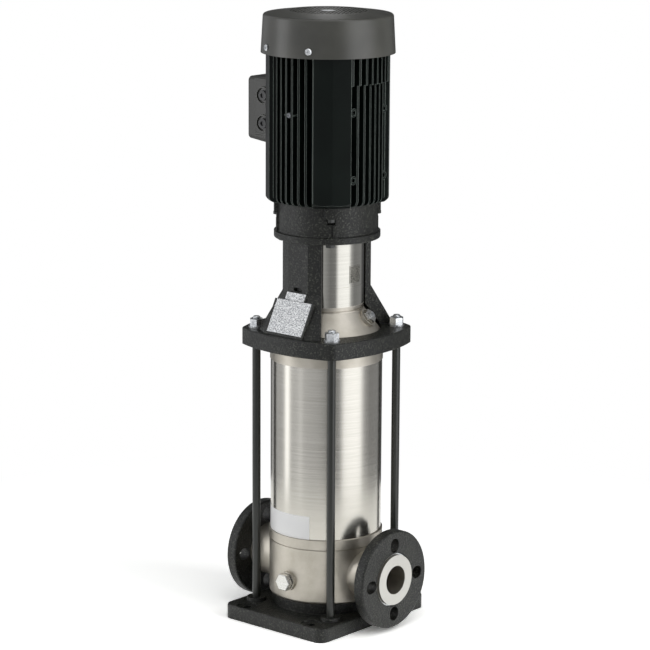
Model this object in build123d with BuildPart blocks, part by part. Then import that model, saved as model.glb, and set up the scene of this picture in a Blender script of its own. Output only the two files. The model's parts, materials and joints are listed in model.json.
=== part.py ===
from build123d import *
from math import cos, radians, sin, sqrt, tan
import os

os.makedirs("parts", exist_ok=True)

# Vertical multistage in-line pump. +Z runs up the shaft, the two ports lie on X
# (inlet on -X, outlet on +X) and the drain plug and rating plate face -Y.

# ---- Driving dimensions, millimetres and degrees ----

# clearances
loose_gap = 0.3            # between pieces that move past each other
running_gap = 0.05         # shaft in its journals, radial
thread_gap = 0.1           # screws in their holes, radial

# base plate
plate_width = 199.0
plate_depth = 247.0
plate_thickness = 22.0
plate_corner_radius = 15.0
plate_edge_round = 2.5
anchor_margin_x = 34.5
anchor_margin_y = 16.0
anchor_hole_diameter = 13.5
anchor_pad_diameter = 30.0
anchor_pad_depth = 2.0
foot_ring_radius = 82.0
foot_ring_height = 15.3

# foot chamber and ports
port_height = 80.0
port_bore = 44.0
port_face_distance = 140.0
stub_radius = 38.5
neck_radius = 39.5
chamber_radius = 86.0
chamber_wall = 6.0
chamber_height = 87.2
chamber_round = 5.0
groove_depth = 1.5
groove_height = 2.0
lip_radius = 87.0
lip_height = 14.3
duct_radius = 28.0
riser_radius = 33.0
riser_bore_radius = 27.0

# drain plug
drain_height = 70.0
drain_boss_radius = 15.0
drain_boss_height = 5.0
drain_hex = 24.0
drain_head_height = 8.0
drain_thread_radius = 8.0
plug_gasket_thickness = 1.5

# loose flanges
flange_diameter = 150.0
flange_thickness = 18.0
flange_setback = 2.5
flange_edge_round = 3.0
slot_centre_radius = 53.3
slot_width = 19.0
slot_length = 22.0
snap_ring_radius = 40.3
snap_ring_thickness = 2.8
snap_ring_depth = 1.7
counterbore_radius = 40.9
counterbore_depth = 6.0

# sleeve and stage stack
sleeve_radius = 84.5
sleeve_wall = 2.0
sleeve_seat_depth = 6.0
sleeve_gasket_thickness = 1.5
label_height = 36.0
label_start_angle = -139.0
label_end_angle = -66.0
label_thickness = 0.3
stage_count = 9
stage_pitch = 31.0
stage_radius = 70.0
stage_wall = 1.5
stack_sink = 4.6
stack_rise = 9.0
diaphragm_height = 15.0
diaphragm_radius = 62.0
return_vane_count = 6
impeller_radius = 60.0
impeller_vane_count = 6
impeller_passage = 6.0
impeller_eye_radius = 22.0
impeller_eye_wall = 2.5
shroud_thickness = 1.5
hub_radius = 12.0

# pump head
head_radius = 85.5
head_wall = 7.5
head_band_height = 22.1
head_lip_radius = 88.0
head_lip_height = 5.0
head_shoulder_height = 19.4
cone_radius = 82.2
cone_top_radius = 56.0
cone_slope = 53.7
cone_lip_height = 2.0
head_ceiling_drop = 9.0
neck_groove_radius = 52.5
neck_groove_height = 3.2
head_neck_radius = 49.0
head_neck_height = 12.0
vent_angle = 17.5
vent_radius = 65.0
vent_boss_radius = 14.5
vent_boss_height = 4.0
vent_crater_depth = 1.5
vent_crater_rim = 2.5
vent_hex = 19.0
vent_head_height = 7.0
vent_thread_radius = 7.0
vent_spindle_radius = 3.0
vent_knob_height = 3.0
vent_slot_width = 1.2
vent_slot_depth = 1.5

# staybolts
staybolt_spacing = 150.0
staybolt_diameter = 12.5
staybolt_boss_radius = 15.0
staybolt_boss_height = 5.0
staybolt_depth = 18.0
staybolt_stand = 17.0
washer_radius = 12.0
washer_thickness = 2.5
nut_hex = 19.0
nut_height = 11.0

# motor stool
stool_flange_thickness = 25.0
stool_flange_half = 91.0
stool_flange_bulge = 19.0
stool_flange_corner = 15.0
stool_height = 145.5
stool_ring_radius = 80.0
stool_ring_thickness = 7.0
stool_ring_round = 2.0
spigot_ledge = 5.0
column_radius = 68.7
column_inner_radius = 60.0
column_half_angle = 34.0
column_facet = 38.6
column_face = 66.0
flare_top = 85.0
flare_spread = 31.7
foot_facet = 80.0
foot_half_width = 62.0
foot_corner_setback = 12.7
stool_lip_radius = 82.5
nameplate_width = 68.0
nameplate_height = 52.0
nameplate_thickness = 1.0
plate_frame = 4.0
plate_pad_height = 2.0
plate_pocket = 1.2
plate_top_drop = 13.0
marker_width = 37.0
marker_height = 12.0
rivet_radius = 1.5
rivet_height = 0.8
pocket_width = 16.0
pocket_height = 6.0
pocket_depth = 5.0

# coupling guards
guard_radius = 55.5
guard_thickness = 0.8
guard_half_angle = 74.0
guard_seat_lift = 9.0
guard_panel_angle = 11.5
guard_panel_height = 26.8
guard_panel_lift = 35.0
guard_emboss = 0.8
guard_crease_angle = 46.0
guard_crease_lift = 28.5
guard_crease_height = 1.6
guard_tab_turn = 40.0
guard_tab_angle = 5.0
guard_tab_drop = 9.0
guard_tab_height = 3.0

# shaft, seal and coupling
pump_shaft_radius = 8.0
shaft_foot_drop = 24.0
seal_bore_radius = 22.0
seal_hex = 55.0
seal_head_height = 7.0
seal_depth = 16.0
seal_wall = 5.0
seal_roof = 4.0
seal_seat_height = 4.0
seal_face_height = 6.0
seal_spring_height = 10.0
coupling_radius = 38.0
coupling_lift = 9.4
coupling_drop = 12.0
pump_shaft_grip = 15.0
shaft_end_gap = 3.0
coupling_split = 3.0
coupling_screw_radius = 4.0
coupling_screw_offset = 26.0
shaft_pin_radius = 2.5

# motor
motor_shaft_radius = 14.0
journal_radius = 15.0
core_seat_radius = 18.0
motor_flange_thickness = 3.2
motor_flange_fillet = 3.0
flange_bolt_reach = 12.0
motor_flange_pitch_radius = 65.0
spigot_radius = 55.0
spigot_depth = 3.5
shield_radius = 74.5
shield_height = 48.7
shield_wall = 8.0
shield_spigot = 4.0
shield_spigot_wall = 6.0
lug_radius = 75.2
lug_reach = 80.2
lug_width = 20.0
lug_height = 17.0
lug_rib_width = 7.0
lug_rib_shift = 6.5
bolt_radius = 3.0
bolt_hex = 10.0
bolt_head_height = 4.5
bolt_head_room = 1.5
bolt_reach = 12.0
flange_bolt_radius = 4.0
flange_bolt_hex = 13.0
flange_bolt_head = 5.5
bearing_outer_radius = 31.0
bearing_width = 16.0
bearing_lift = 14.0
bearing_hub_wall = 7.0
ball_radius = 4.7
ball_count = 8
housing_height = 225.4
housing_radius = 74.0
stator_radius = 62.0
pad_radius = 92.5
pad_half_width = 28.0
pad_crown = 3.6
fin_radius = 87.5
fin_step_radius = 91.5
fin_step_height = 45.0
fin_pitch = 11.4
fin_thickness = 3.2
fins_per_side = 8
fin_foot_round = 10.0
foot_boss_radius = 6.5
foot_boss_face = 80.0
foot_boss_pitch = 100.0
foot_boss_lift = 41.0
foot_hole_radius = 3.3
foot_hole_depth = 12.0
lifting_boss_radius = 4.2
lifting_boss_face = 86.5
lifting_boss_lift = 135.0
lifting_web_width = 20.0
core_length = 130.0
air_gap = 0.5
rotor_radius = 38.0
winding_height = 24.0

# fan and fan cover
cover_radius = 100.0
cover_top_radius = 97.0
cover_height = 61.4
cover_overlap = 4.4
cover_wall = 2.0
cover_edge_round = 4.0
cover_screw_angle = 24.0
cover_screw_height = 10.5
cover_screw_radius = 2.5
grille_radius = 61.0
grille_pitch = 9.5
grille_hole = 7.0
grille_hub_radius = 13.0
fan_radius = 80.0
fan_height = 24.0
fan_blade_count = 8

# terminal box
box_half_width = 48.0
box_height = 102.0
box_top_drop = 42.5
box_inner_face = 76.0
box_depth = 29.0
box_draft = 0.09
lid_depth = 15.5
lid_screw_radius = 2.5
lid_screw_head = 4.5
lid_screw_inset = 14.0
lid_post_radius = 5.5
lid_thread_depth = 14.0
lid_head_recess = 4.0
lid_head_height = 3.2
box_rib = 1.8
box_rib_drops = (6.5, 88.1, 91.8)
box_wall = 4.0
box_corner = 7.0
entry_spacing = 42.0
entry_offset = 10.0
entry_boss_radius = 13.3
entry_rim_height = 1.5
entry_recess_radius = 11.5
entry_recess_depth = 3.0
entry_thread_radius = 6.0
entry_head_radius = 7.5
entry_head_height = 4.0
entry_socket_radius = 3.5
entry_socket_depth = 2.0
block_width = 44.0
block_height = 56.0
block_thickness = 8.0
stud_radius = 3.0
stud_height = 12.0
stud_pitch_y = 22.0
stud_pitch_z = 18.0

# ---- Levels up the shaft, each from the piece below it ----

foot_bottom = plate_thickness + foot_ring_height
groove_level = foot_bottom + chamber_height
lip_top = groove_level + lip_height
stack_bottom = lip_top - stack_sink
stack_top = stack_bottom + stage_count * stage_pitch
head_bottom = stack_top - stack_rise
flange_bottom = head_bottom + head_band_height
flange_top = flange_bottom + stool_flange_thickness
stool_top = flange_bottom + stool_flange_thickness + stool_height
shield_top = stool_top + shield_height
housing_top = shield_top + housing_height
cover_bottom = housing_top - cover_overlap
cover_top = cover_bottom + cover_height
head_shoulder = flange_bottom + head_shoulder_height
cone_top = head_shoulder + (cone_radius - cone_top_radius) * tan(radians(cone_slope))
guard_bottom = cone_top + guard_seat_lift
guard_height = stool_top - stool_ring_thickness - guard_bottom
head_top = guard_bottom + head_neck_height
sleeve_bottom = lip_top - sleeve_seat_depth + sleeve_gasket_thickness
sleeve_top = head_bottom + sleeve_seat_depth - sleeve_gasket_thickness
coupling_bottom = head_top + seal_head_height + coupling_lift
coupling_top = stool_top - coupling_drop
coupling_length = coupling_top - coupling_bottom
pump_shaft_top = coupling_bottom + pump_shaft_grip
motor_shaft_end = pump_shaft_top + shaft_end_gap
shaft_foot = stack_bottom - shaft_foot_drop
box_top = housing_top - box_top_drop
box_bottom = box_top - box_height
box_middle = (box_top + box_bottom) / 2
entry_face = box_inner_face + entry_offset
core_middle = (shield_top + housing_top) / 2
anchor_spacing_x = plate_width - 2 * anchor_margin_x
anchor_spacing_y = plate_depth - 2 * anchor_margin_y
staybolt_radius = staybolt_diameter / 2
rod_seat = plate_thickness + staybolt_boss_height - staybolt_depth


def save(piece, name):
    """Label one finished piece and write it as its own STEP file."""
    piece.part.label = name
    export_step(piece.part, f"parts/{name}.step")


# ---- Base plate ----

with BuildPart() as base_plate:
    with BuildSketch():
        RectangleRounded(plate_width, plate_depth, plate_corner_radius)
    extrude(amount=plate_thickness)
    fillet(base_plate.faces().sort_by(Axis.Z)[-1].edges(), plate_edge_round)
    with BuildSketch(Plane.XY.offset(plate_thickness)):
        Circle(foot_ring_radius)
    extrude(amount=foot_ring_height)
    with BuildSketch(Plane.XY.offset(plate_thickness)):
        with GridLocations(staybolt_spacing, staybolt_spacing, 2, 2):
            Circle(staybolt_boss_radius)
    extrude(amount=staybolt_boss_height, taper=8)
    with BuildSketch(Plane.XY.offset(rod_seat)):
        with GridLocations(staybolt_spacing, staybolt_spacing, 2, 2):
            Circle(staybolt_radius + thread_gap)
    extrude(amount=staybolt_depth + foot_ring_height, mode=Mode.SUBTRACT)
    with BuildSketch(Plane.XY.offset(plate_thickness)):
        with GridLocations(anchor_spacing_x, anchor_spacing_y, 2, 2):
            Circle(anchor_pad_diameter / 2)
    extrude(amount=-anchor_pad_depth, mode=Mode.SUBTRACT)
    with BuildSketch():
        with GridLocations(anchor_spacing_x, anchor_spacing_y, 2, 2):
            Circle(anchor_hole_diameter / 2)
    extrude(amount=plate_thickness, mode=Mode.SUBTRACT)
save(base_plate, "base_plate")

# ---- Foot chamber with its two port necks and the suction duct ----

cavity_radius = chamber_radius - chamber_wall
chamber_floor = foot_bottom + chamber_wall
neck_end = port_face_distance - flange_setback - flange_thickness - loose_gap
ring_face = port_face_distance - flange_setback - counterbore_depth + loose_gap
stub_groove_radius = stub_radius - snap_ring_depth

with BuildPart() as pump_base:
    with BuildSketch(Plane.XZ):
        with BuildLine():
            Polyline(
                (0, lip_top),
                (0, foot_bottom),
                (chamber_radius - chamber_round, foot_bottom),
            )
            RadiusArc(
                (chamber_radius - chamber_round, foot_bottom),
                (chamber_radius, foot_bottom + chamber_round),
                -chamber_round,
            )
            Polyline(
                (chamber_radius, foot_bottom + chamber_round),
                (chamber_radius, groove_level - groove_height),
                (chamber_radius - groove_depth, groove_level - groove_height),
                (chamber_radius - groove_depth, groove_level),
                (lip_radius, groove_level),
                (lip_radius, lip_top),
                (0, lip_top),
            )
        make_face()
    revolve(axis=Axis.Z)
    with BuildSketch(Plane.YZ):
        with Locations((0, port_height)):
            Circle(neck_radius)
    extrude(amount=neck_end, both=True)
    with BuildSketch(Plane.YZ):
        with Locations((0, port_height)):
            Circle(stub_radius)
    extrude(amount=port_face_distance, both=True)
    with BuildSketch(Plane.XZ.offset(chamber_radius - chamber_round)):
        with Locations((0, drain_height)):
            Circle(drain_boss_radius)
    extrude(amount=chamber_round + drain_boss_height)
    with BuildSketch(Plane.XY.offset(chamber_floor)):
        Circle(cavity_radius)
    extrude(amount=lip_top - chamber_floor, mode=Mode.SUBTRACT)
    with BuildSketch(Plane.YZ):
        with Locations((0, port_height)):
            Circle(duct_radius)
    extrude(amount=-(cavity_radius + chamber_wall / 2))
    with BuildSketch(Plane.XY.offset(chamber_floor)):
        Circle(riser_radius)
    extrude(amount=stack_bottom - chamber_floor)
    with BuildSketch(Plane.XY.offset(stack_bottom)):
        Circle(riser_bore_radius)
    extrude(amount=-(stack_bottom - port_height + port_bore / 2), mode=Mode.SUBTRACT)
    with BuildSketch(Plane.YZ.offset(-port_face_distance)):
        with Locations((0, port_height)):
            Circle(port_bore / 2)
    extrude(amount=port_face_distance, mode=Mode.SUBTRACT)
    with BuildSketch(Plane.YZ.offset(port_face_distance)):
        with Locations((0, port_height)):
            Circle(port_bore / 2)
    extrude(amount=-(port_face_distance - riser_radius - loose_gap), mode=Mode.SUBTRACT)
    with BuildSketch(Plane.XY.offset(lip_top)):
        Circle(sleeve_radius + thread_gap)
        Circle(sleeve_radius - sleeve_wall - thread_gap, mode=Mode.SUBTRACT)
    extrude(amount=-sleeve_seat_depth, mode=Mode.SUBTRACT)
    with BuildSketch(Plane.XZ.offset(chamber_radius + drain_boss_height)):
        with Locations((0, drain_height)):
            Circle(drain_thread_radius + thread_gap)
    extrude(amount=-(drain_boss_height + 2 * chamber_wall), mode=Mode.SUBTRACT)
    for side in (-1, 1):
        with BuildSketch(Plane.YZ.offset(side * ring_face)):
            with Locations((0, port_height)):
                Circle(stub_radius + 1)
                Circle(stub_groove_radius, mode=Mode.SUBTRACT)
        extrude(amount=side * (snap_ring_thickness + thread_gap), mode=Mode.SUBTRACT)
save(pump_base, "pump_base")

# ---- Drain plug ----

boss_face = chamber_radius + drain_boss_height

with BuildPart() as drain_gasket:
    with BuildSketch(Plane.XZ.offset(boss_face)):
        with Locations((0, drain_height)):
            Circle(drain_hex / 2)
            Circle(drain_thread_radius + thread_gap, mode=Mode.SUBTRACT)
    extrude(amount=plug_gasket_thickness)
save(drain_gasket, "drain_gasket")

with BuildPart() as drain_plug:
    with BuildSketch(Plane.XZ.offset(boss_face + plug_gasket_thickness)):
        with Locations((0, drain_height)):
            RegularPolygon(drain_hex / 2, 6, major_radius=False)
    extrude(amount=drain_head_height)
    chamfer(drain_plug.faces().sort_by(Axis.Y)[0].edges(), 1)
    with BuildSketch(Plane.XZ.offset(boss_face + plug_gasket_thickness)):
        with Locations((0, drain_height)):
            Circle(drain_thread_radius)
    extrude(amount=-(plug_gasket_thickness + drain_boss_height + chamber_wall))
save(drain_plug, "drain_plug")

# ---- Loose flanges and the snap rings that keep them on their stubs ----

flange_radius = flange_diameter / 2
flange_face = port_face_distance - flange_setback


def flange_ring(side):
    """One loose flange, on the +X side for side = 1 and on the -X side for side = -1."""
    with BuildPart() as ring:
        with BuildSketch(Plane.YZ.offset(side * (flange_face - flange_thickness))):
            with Locations((0, port_height)):
                Circle(flange_radius)
                Circle(stub_radius + loose_gap, mode=Mode.SUBTRACT)
        extrude(amount=side * flange_thickness)
        rims = ring.edges().filter_by(GeomType.CIRCLE)
        fillet(rims.filter_by(lambda edge: edge.radius > flange_radius - 1), flange_edge_round)
        with BuildSketch(Plane.YZ.offset(side * flange_face)):
            with Locations((0, port_height)):
                Circle(counterbore_radius)
        extrude(amount=-side * counterbore_depth, mode=Mode.SUBTRACT)
        with BuildSketch(Plane.YZ.offset(side * flange_face)):
            with Locations((0, port_height)):
                with PolarLocations(slot_centre_radius, 4):
                    SlotOverall(slot_length, slot_width)
        extrude(amount=-side * flange_thickness, mode=Mode.SUBTRACT)
    return ring


def snap_ring(side):
    """The split ring in the stub's groove, opening to one side."""
    with BuildPart() as ring:
        with BuildSketch(Plane.YZ.offset(side * ring_face)):
            with Locations((0, port_height)):
                Circle(snap_ring_radius)
                Circle(stub_groove_radius, mode=Mode.SUBTRACT)
            with Locations((stub_radius, port_height)):
                Rectangle(2 * snap_ring_depth + 6, 4, mode=Mode.SUBTRACT)
        extrude(amount=side * snap_ring_thickness)
    return ring


for port, side in (("inlet", -1), ("outlet", 1)):
    save(flange_ring(side), f"{port}_flange")
    save(snap_ring(side), f"{port}_snap_ring")

# ---- Sleeve, its gaskets and the film label ----

with BuildPart() as sleeve_gaskets:
    for level in (lip_top - sleeve_seat_depth, sleeve_top):
        with BuildSketch(Plane.XY.offset(level)):
            Circle(sleeve_radius)
            Circle(sleeve_radius - sleeve_wall, mode=Mode.SUBTRACT)
        extrude(amount=sleeve_gasket_thickness)
save(sleeve_gaskets, "sleeve_gaskets")

with BuildPart() as outer_sleeve:
    with BuildSketch(Plane.XY.offset(sleeve_bottom)):
        Circle(sleeve_radius)
        Circle(sleeve_radius - sleeve_wall, mode=Mode.SUBTRACT)
    extrude(amount=sleeve_top - sleeve_bottom)
save(outer_sleeve, "outer_sleeve")

with BuildPart() as sleeve_label:
    label_section = Plane(
        origin=(0, 0, 0),
        x_dir=(cos(radians(label_start_angle)), sin(radians(label_start_angle)), 0),
        z_dir=(sin(radians(label_start_angle)), -cos(radians(label_start_angle)), 0),
    )
    with BuildSketch(label_section):
        with Locations((sleeve_radius + label_thickness / 2, lip_top + label_height / 2 + loose_gap)):
            Rectangle(label_thickness, label_height)
    revolve(axis=Axis.Z, revolution_arc=label_end_angle - label_start_angle)
save(sleeve_label, "sleeve_label")

# ---- Stage stack: bottom bearing, chambers with return vanes, clamp ring ----

with BuildPart() as bearing_spider:
    with BuildSketch(Plane.XY.offset(stack_bottom - 16)):
        Circle(pump_shaft_radius + 5)
        with PolarLocations(0, 3):
            with Locations((riser_bore_radius / 2, 0)):
                Rectangle(riser_bore_radius - 2, 4)
        Circle(riser_bore_radius - thread_gap)
        Circle(riser_bore_radius - 3, mode=Mode.SUBTRACT)
        Circle(pump_shaft_radius + 5)
        with PolarLocations(0, 3):
            with Locations((riser_bore_radius / 2 + 2, 0)):
                Rectangle(riser_bore_radius - 8, 4)
        Circle(pump_shaft_radius + running_gap, mode=Mode.SUBTRACT)
    extrude(amount=14)
save(bearing_spider, "bearing_spider")

with BuildSketch() as return_vane:
    with BuildLine():
        ThreePointArc(
            (hub_radius + 14, 0),
            (stage_radius * 0.62, stage_radius * 0.11),
            (stage_radius * 0.87, stage_radius * 0.45),
        )
    trace(line_width=stage_wall)

with BuildSketch() as impeller_vane:
    with BuildLine():
        ThreePointArc(
            (impeller_eye_radius + 4, 0),
            (impeller_radius * 0.72, impeller_radius * 0.16),
            (impeller_radius * 0.82, impeller_radius * 0.54),
        )
    trace(line_width=stage_wall)

with BuildPart() as stage_chambers:
    for stage in range(stage_count):
        floor = stack_bottom + stage * stage_pitch
        with BuildSketch(Plane.XY.offset(floor)):
            Circle(stage_radius)
            Circle(impeller_eye_radius + impeller_eye_wall + 2 * thread_gap, mode=Mode.SUBTRACT)
        extrude(amount=stage_wall)
        with BuildSketch(Plane.XY.offset(floor + stage_wall)):
            Circle(stage_radius)
            Circle(stage_radius - stage_wall, mode=Mode.SUBTRACT)
        extrude(amount=stage_pitch - stage_wall - 0.02)
        with BuildSketch(Plane.XY.offset(floor + diaphragm_height)):
            Circle(diaphragm_radius)
            Circle(hub_radius + 2 * thread_gap, mode=Mode.SUBTRACT)
        extrude(amount=stage_wall)
        with BuildSketch(Plane.XY.offset(floor + diaphragm_height + stage_wall / 2)):
            with PolarLocations(0, return_vane_count):
                add(return_vane.sketch)
        extrude(amount=stage_pitch - diaphragm_height - stage_wall)
save(stage_chambers, "stage_chambers")

shroud_level = 3.0         # front shroud above the floor of its stage

with BuildPart() as impellers:
    for stage in range(stage_count):
        eye = stack_bottom + stage * stage_pitch
        front = eye + shroud_level
        back = front + shroud_thickness + impeller_passage
        with BuildSketch(Plane.XY.offset(front)):
            Circle(impeller_radius)
            Circle(impeller_eye_radius, mode=Mode.SUBTRACT)
        extrude(amount=shroud_thickness)
        with BuildSketch(Plane.XY.offset(eye)):
            Circle(impeller_eye_radius + impeller_eye_wall)
            Circle(impeller_eye_radius, mode=Mode.SUBTRACT)
        extrude(amount=shroud_level)
        with BuildSketch(Plane.XY.offset(back)):
            Circle(impeller_radius)
        extrude(amount=shroud_thickness)
        with BuildSketch(Plane.XY.offset(front + shroud_thickness / 2)):
            with PolarLocations(0, impeller_vane_count):
                add(impeller_vane.sketch)
        extrude(amount=impeller_passage + shroud_thickness)
        with BuildSketch(Plane.XY.offset(eye)):
            Circle(hub_radius)
        extrude(amount=stage_pitch - 0.02)
        with BuildSketch(Plane.XY.offset(eye)):
            Circle(pump_shaft_radius + running_gap)
        extrude(amount=stage_pitch, mode=Mode.SUBTRACT)
save(impellers, "impellers")

head_ceiling = head_shoulder - head_ceiling_drop

with BuildPart() as stack_clamp_ring:
    with BuildSketch(Plane.XY.offset(stack_top)):
        Circle(stage_radius)
        Circle(stage_radius - 2 * stage_wall, mode=Mode.SUBTRACT)
    extrude(amount=head_ceiling - stack_top)
    with BuildSketch(Plane.XY.offset(stack_top + 5)):
        with PolarLocations(0, 3):
            Rectangle(3 * stage_radius, stage_radius / 2)
    extrude(amount=head_ceiling - stack_top - 10, mode=Mode.SUBTRACT)
save(stack_clamp_ring, "stack_clamp_ring")

# ---- Pump head: stainless cone with the vent boss ----

vent_height = head_shoulder + (cone_radius - vent_radius) * tan(radians(cone_slope))
vent_direction = (
    cos(radians(vent_angle)) * sin(radians(cone_slope)),
    sin(radians(vent_angle)) * sin(radians(cone_slope)),
    cos(radians(cone_slope)),
)
vent_point = (
    vent_radius * cos(radians(vent_angle)),
    vent_radius * sin(radians(vent_angle)),
    vent_height,
)
vent_plane = Plane(origin=vent_point, z_dir=vent_direction)
inner_cone_top = seal_bore_radius + 14
head_lip_bottom = flange_bottom - loose_gap - head_lip_height
head_inner_top = head_ceiling + (stage_radius - 4 - inner_cone_top) * tan(radians(cone_slope)) * 0.9

with BuildPart() as pump_head:
    with BuildSketch(Plane.XZ):
        with BuildLine():
            Polyline(
                (seal_bore_radius, head_inner_top),
                (inner_cone_top, head_inner_top),
                (stage_radius - 4, head_ceiling),
                (head_radius - head_wall, head_ceiling),
                (head_radius - head_wall, head_bottom),
                (head_radius, head_bottom),
                (head_radius, head_lip_bottom - head_lip_radius + head_radius),
                (head_lip_radius, head_lip_bottom),
                (head_lip_radius, head_lip_bottom + head_lip_height),
                (head_radius, head_lip_bottom + head_lip_height),
                (head_radius, head_shoulder),
                (cone_radius, head_shoulder),
                (cone_top_radius, cone_top),
                (cone_top_radius, cone_top + cone_lip_height),
                (neck_groove_radius, cone_top + cone_lip_height),
                (neck_groove_radius, guard_bottom - neck_groove_height / 2),
                (guard_radius, guard_bottom - neck_groove_height / 2),
                (guard_radius, guard_bottom),
                (head_neck_radius, guard_bottom),
                (head_neck_radius, head_top),
                (seal_bore_radius, head_top),
                close=True,
            )
        make_face()
    revolve(axis=Axis.Z)
    with BuildSketch(vent_plane.offset(-head_wall / 2)):
        Circle(vent_boss_radius)
    extrude(amount=head_wall / 2 + vent_boss_height)
    with BuildSketch(vent_plane.offset(vent_boss_height)):
        Circle(vent_boss_radius - vent_crater_rim)
    extrude(amount=-vent_crater_depth, mode=Mode.SUBTRACT)
    with BuildSketch(vent_plane.offset(vent_boss_height)):
        Circle(vent_thread_radius + thread_gap)
    extrude(amount=-(vent_boss_height + 2 * head_wall), mode=Mode.SUBTRACT)
    with BuildSketch(Plane.XY.offset(head_bottom)):
        Circle(sleeve_radius + thread_gap)
        Circle(sleeve_radius - sleeve_wall - thread_gap, mode=Mode.SUBTRACT)
    extrude(amount=sleeve_seat_depth, mode=Mode.SUBTRACT)
save(pump_head, "pump_head")

vent_seat = vent_plane.offset(vent_boss_height - vent_crater_depth)

with BuildPart() as vent_plug:
    with BuildSketch(vent_seat):
        RegularPolygon(vent_hex / 2, 6, major_radius=False)
    extrude(amount=vent_head_height)
    with BuildSketch(vent_seat):
        Circle(vent_thread_radius)
    extrude(amount=-(vent_boss_height + head_wall))
    with BuildSketch(vent_seat.offset(vent_head_height)):
        Circle(vent_spindle_radius + running_gap)
    extrude(amount=-(vent_head_height + 5), mode=Mode.SUBTRACT)
save(vent_plug, "vent_plug")

with BuildPart() as vent_spindle:
    with BuildSketch(vent_seat.offset(vent_head_height + loose_gap)):
        Circle(vent_spindle_radius + 2)
    extrude(amount=vent_knob_height)
    with BuildSketch(vent_seat.offset(vent_head_height + loose_gap + vent_knob_height)):
        Rectangle(4 * vent_spindle_radius, vent_slot_width)
    extrude(amount=-vent_slot_depth, mode=Mode.SUBTRACT)
    with BuildSketch(vent_seat.offset(vent_head_height + loose_gap)):
        Circle(vent_spindle_radius)
    extrude(amount=-(vent_head_height + 4))
save(vent_spindle, "vent_spindle")

# ---- Staybolts with their washers and nuts ----

with BuildPart() as staybolts:
    with BuildSketch(Plane.XY.offset(rod_seat)):
        with GridLocations(staybolt_spacing, staybolt_spacing, 2, 2):
            Circle(staybolt_radius)
    extrude(amount=flange_top + staybolt_stand - rod_seat)
    tops = staybolts.faces().group_by(Axis.Z)[-1]
    chamfer(tops.edges(), 1)
save(staybolts, "staybolts")

with BuildPart() as staybolt_washers:
    with BuildSketch(Plane.XY.offset(flange_top)):
        with GridLocations(staybolt_spacing, staybolt_spacing, 2, 2):
            Circle(washer_radius)
            Circle(staybolt_radius + thread_gap, mode=Mode.SUBTRACT)
    extrude(amount=washer_thickness)
save(staybolt_washers, "staybolt_washers")

with BuildPart() as staybolt_nuts:
    with BuildSketch(Plane.XY.offset(flange_top + washer_thickness)):
        with GridLocations(staybolt_spacing, staybolt_spacing, 2, 2):
            RegularPolygon(nut_hex / 2, 6, major_radius=False)
            Circle(staybolt_radius + thread_gap, mode=Mode.SUBTRACT)
    extrude(amount=nut_height)
save(staybolt_nuts, "staybolt_nuts")

# ---- Motor stool: bulged square flange, two flared columns and the top ring ----

flare_level = stool_top - flare_top
half = stool_flange_half
side_middle = half + stool_flange_bulge


def column_section(level, turn, front, facet, corner_x, corner_setback):
    """Plan of one column between its two radial sides, at one level."""
    inner = column_inner_radius
    inner_x = inner * sin(radians(column_half_angle))
    inner_y = -inner * cos(radians(column_half_angle))
    with BuildSketch(Plane.XY.offset(level).rotated((0, 0, turn))) as section:
        with BuildLine():
            Polyline(
                (-inner_x, inner_y),
                (-corner_x, corner_setback - front),
                (-facet / 2, -front),
                (facet / 2, -front),
                (corner_x, corner_setback - front),
                (inner_x, inner_y),
            )
            ThreePointArc((inner_x, inner_y), (0, -inner), (-inner_x, inner_y))
        make_face()
    return section.sketch


hollow_top = flange_top + 2 + (stool_lip_radius - column_inner_radius) * tan(radians(cone_slope))
column_corner_x = column_radius * sin(radians(column_half_angle))
column_corner_setback = column_face - column_radius * cos(radians(column_half_angle))
foot_face = column_face + flare_spread
slope_run = sqrt(flare_spread**2 + (flare_level - flange_top) ** 2)
slope_normal = (0, -(flare_level - flange_top) / slope_run, flare_spread / slope_run)
plate_drop = plate_top_drop + nameplate_height / 2
plate_plane = Plane(
    origin=(
        0,
        -(column_face + plate_drop * flare_spread / slope_run),
        flare_level - plate_drop * (flare_level - flange_top) / slope_run,
    ),
    x_dir=(1, 0, 0),
    z_dir=slope_normal,
)
marker_plane = plate_plane.shift_origin(
    plate_plane.from_local_coords(Vector(0, (nameplate_height + marker_height) / 2 + loose_gap, 0))
)

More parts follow.
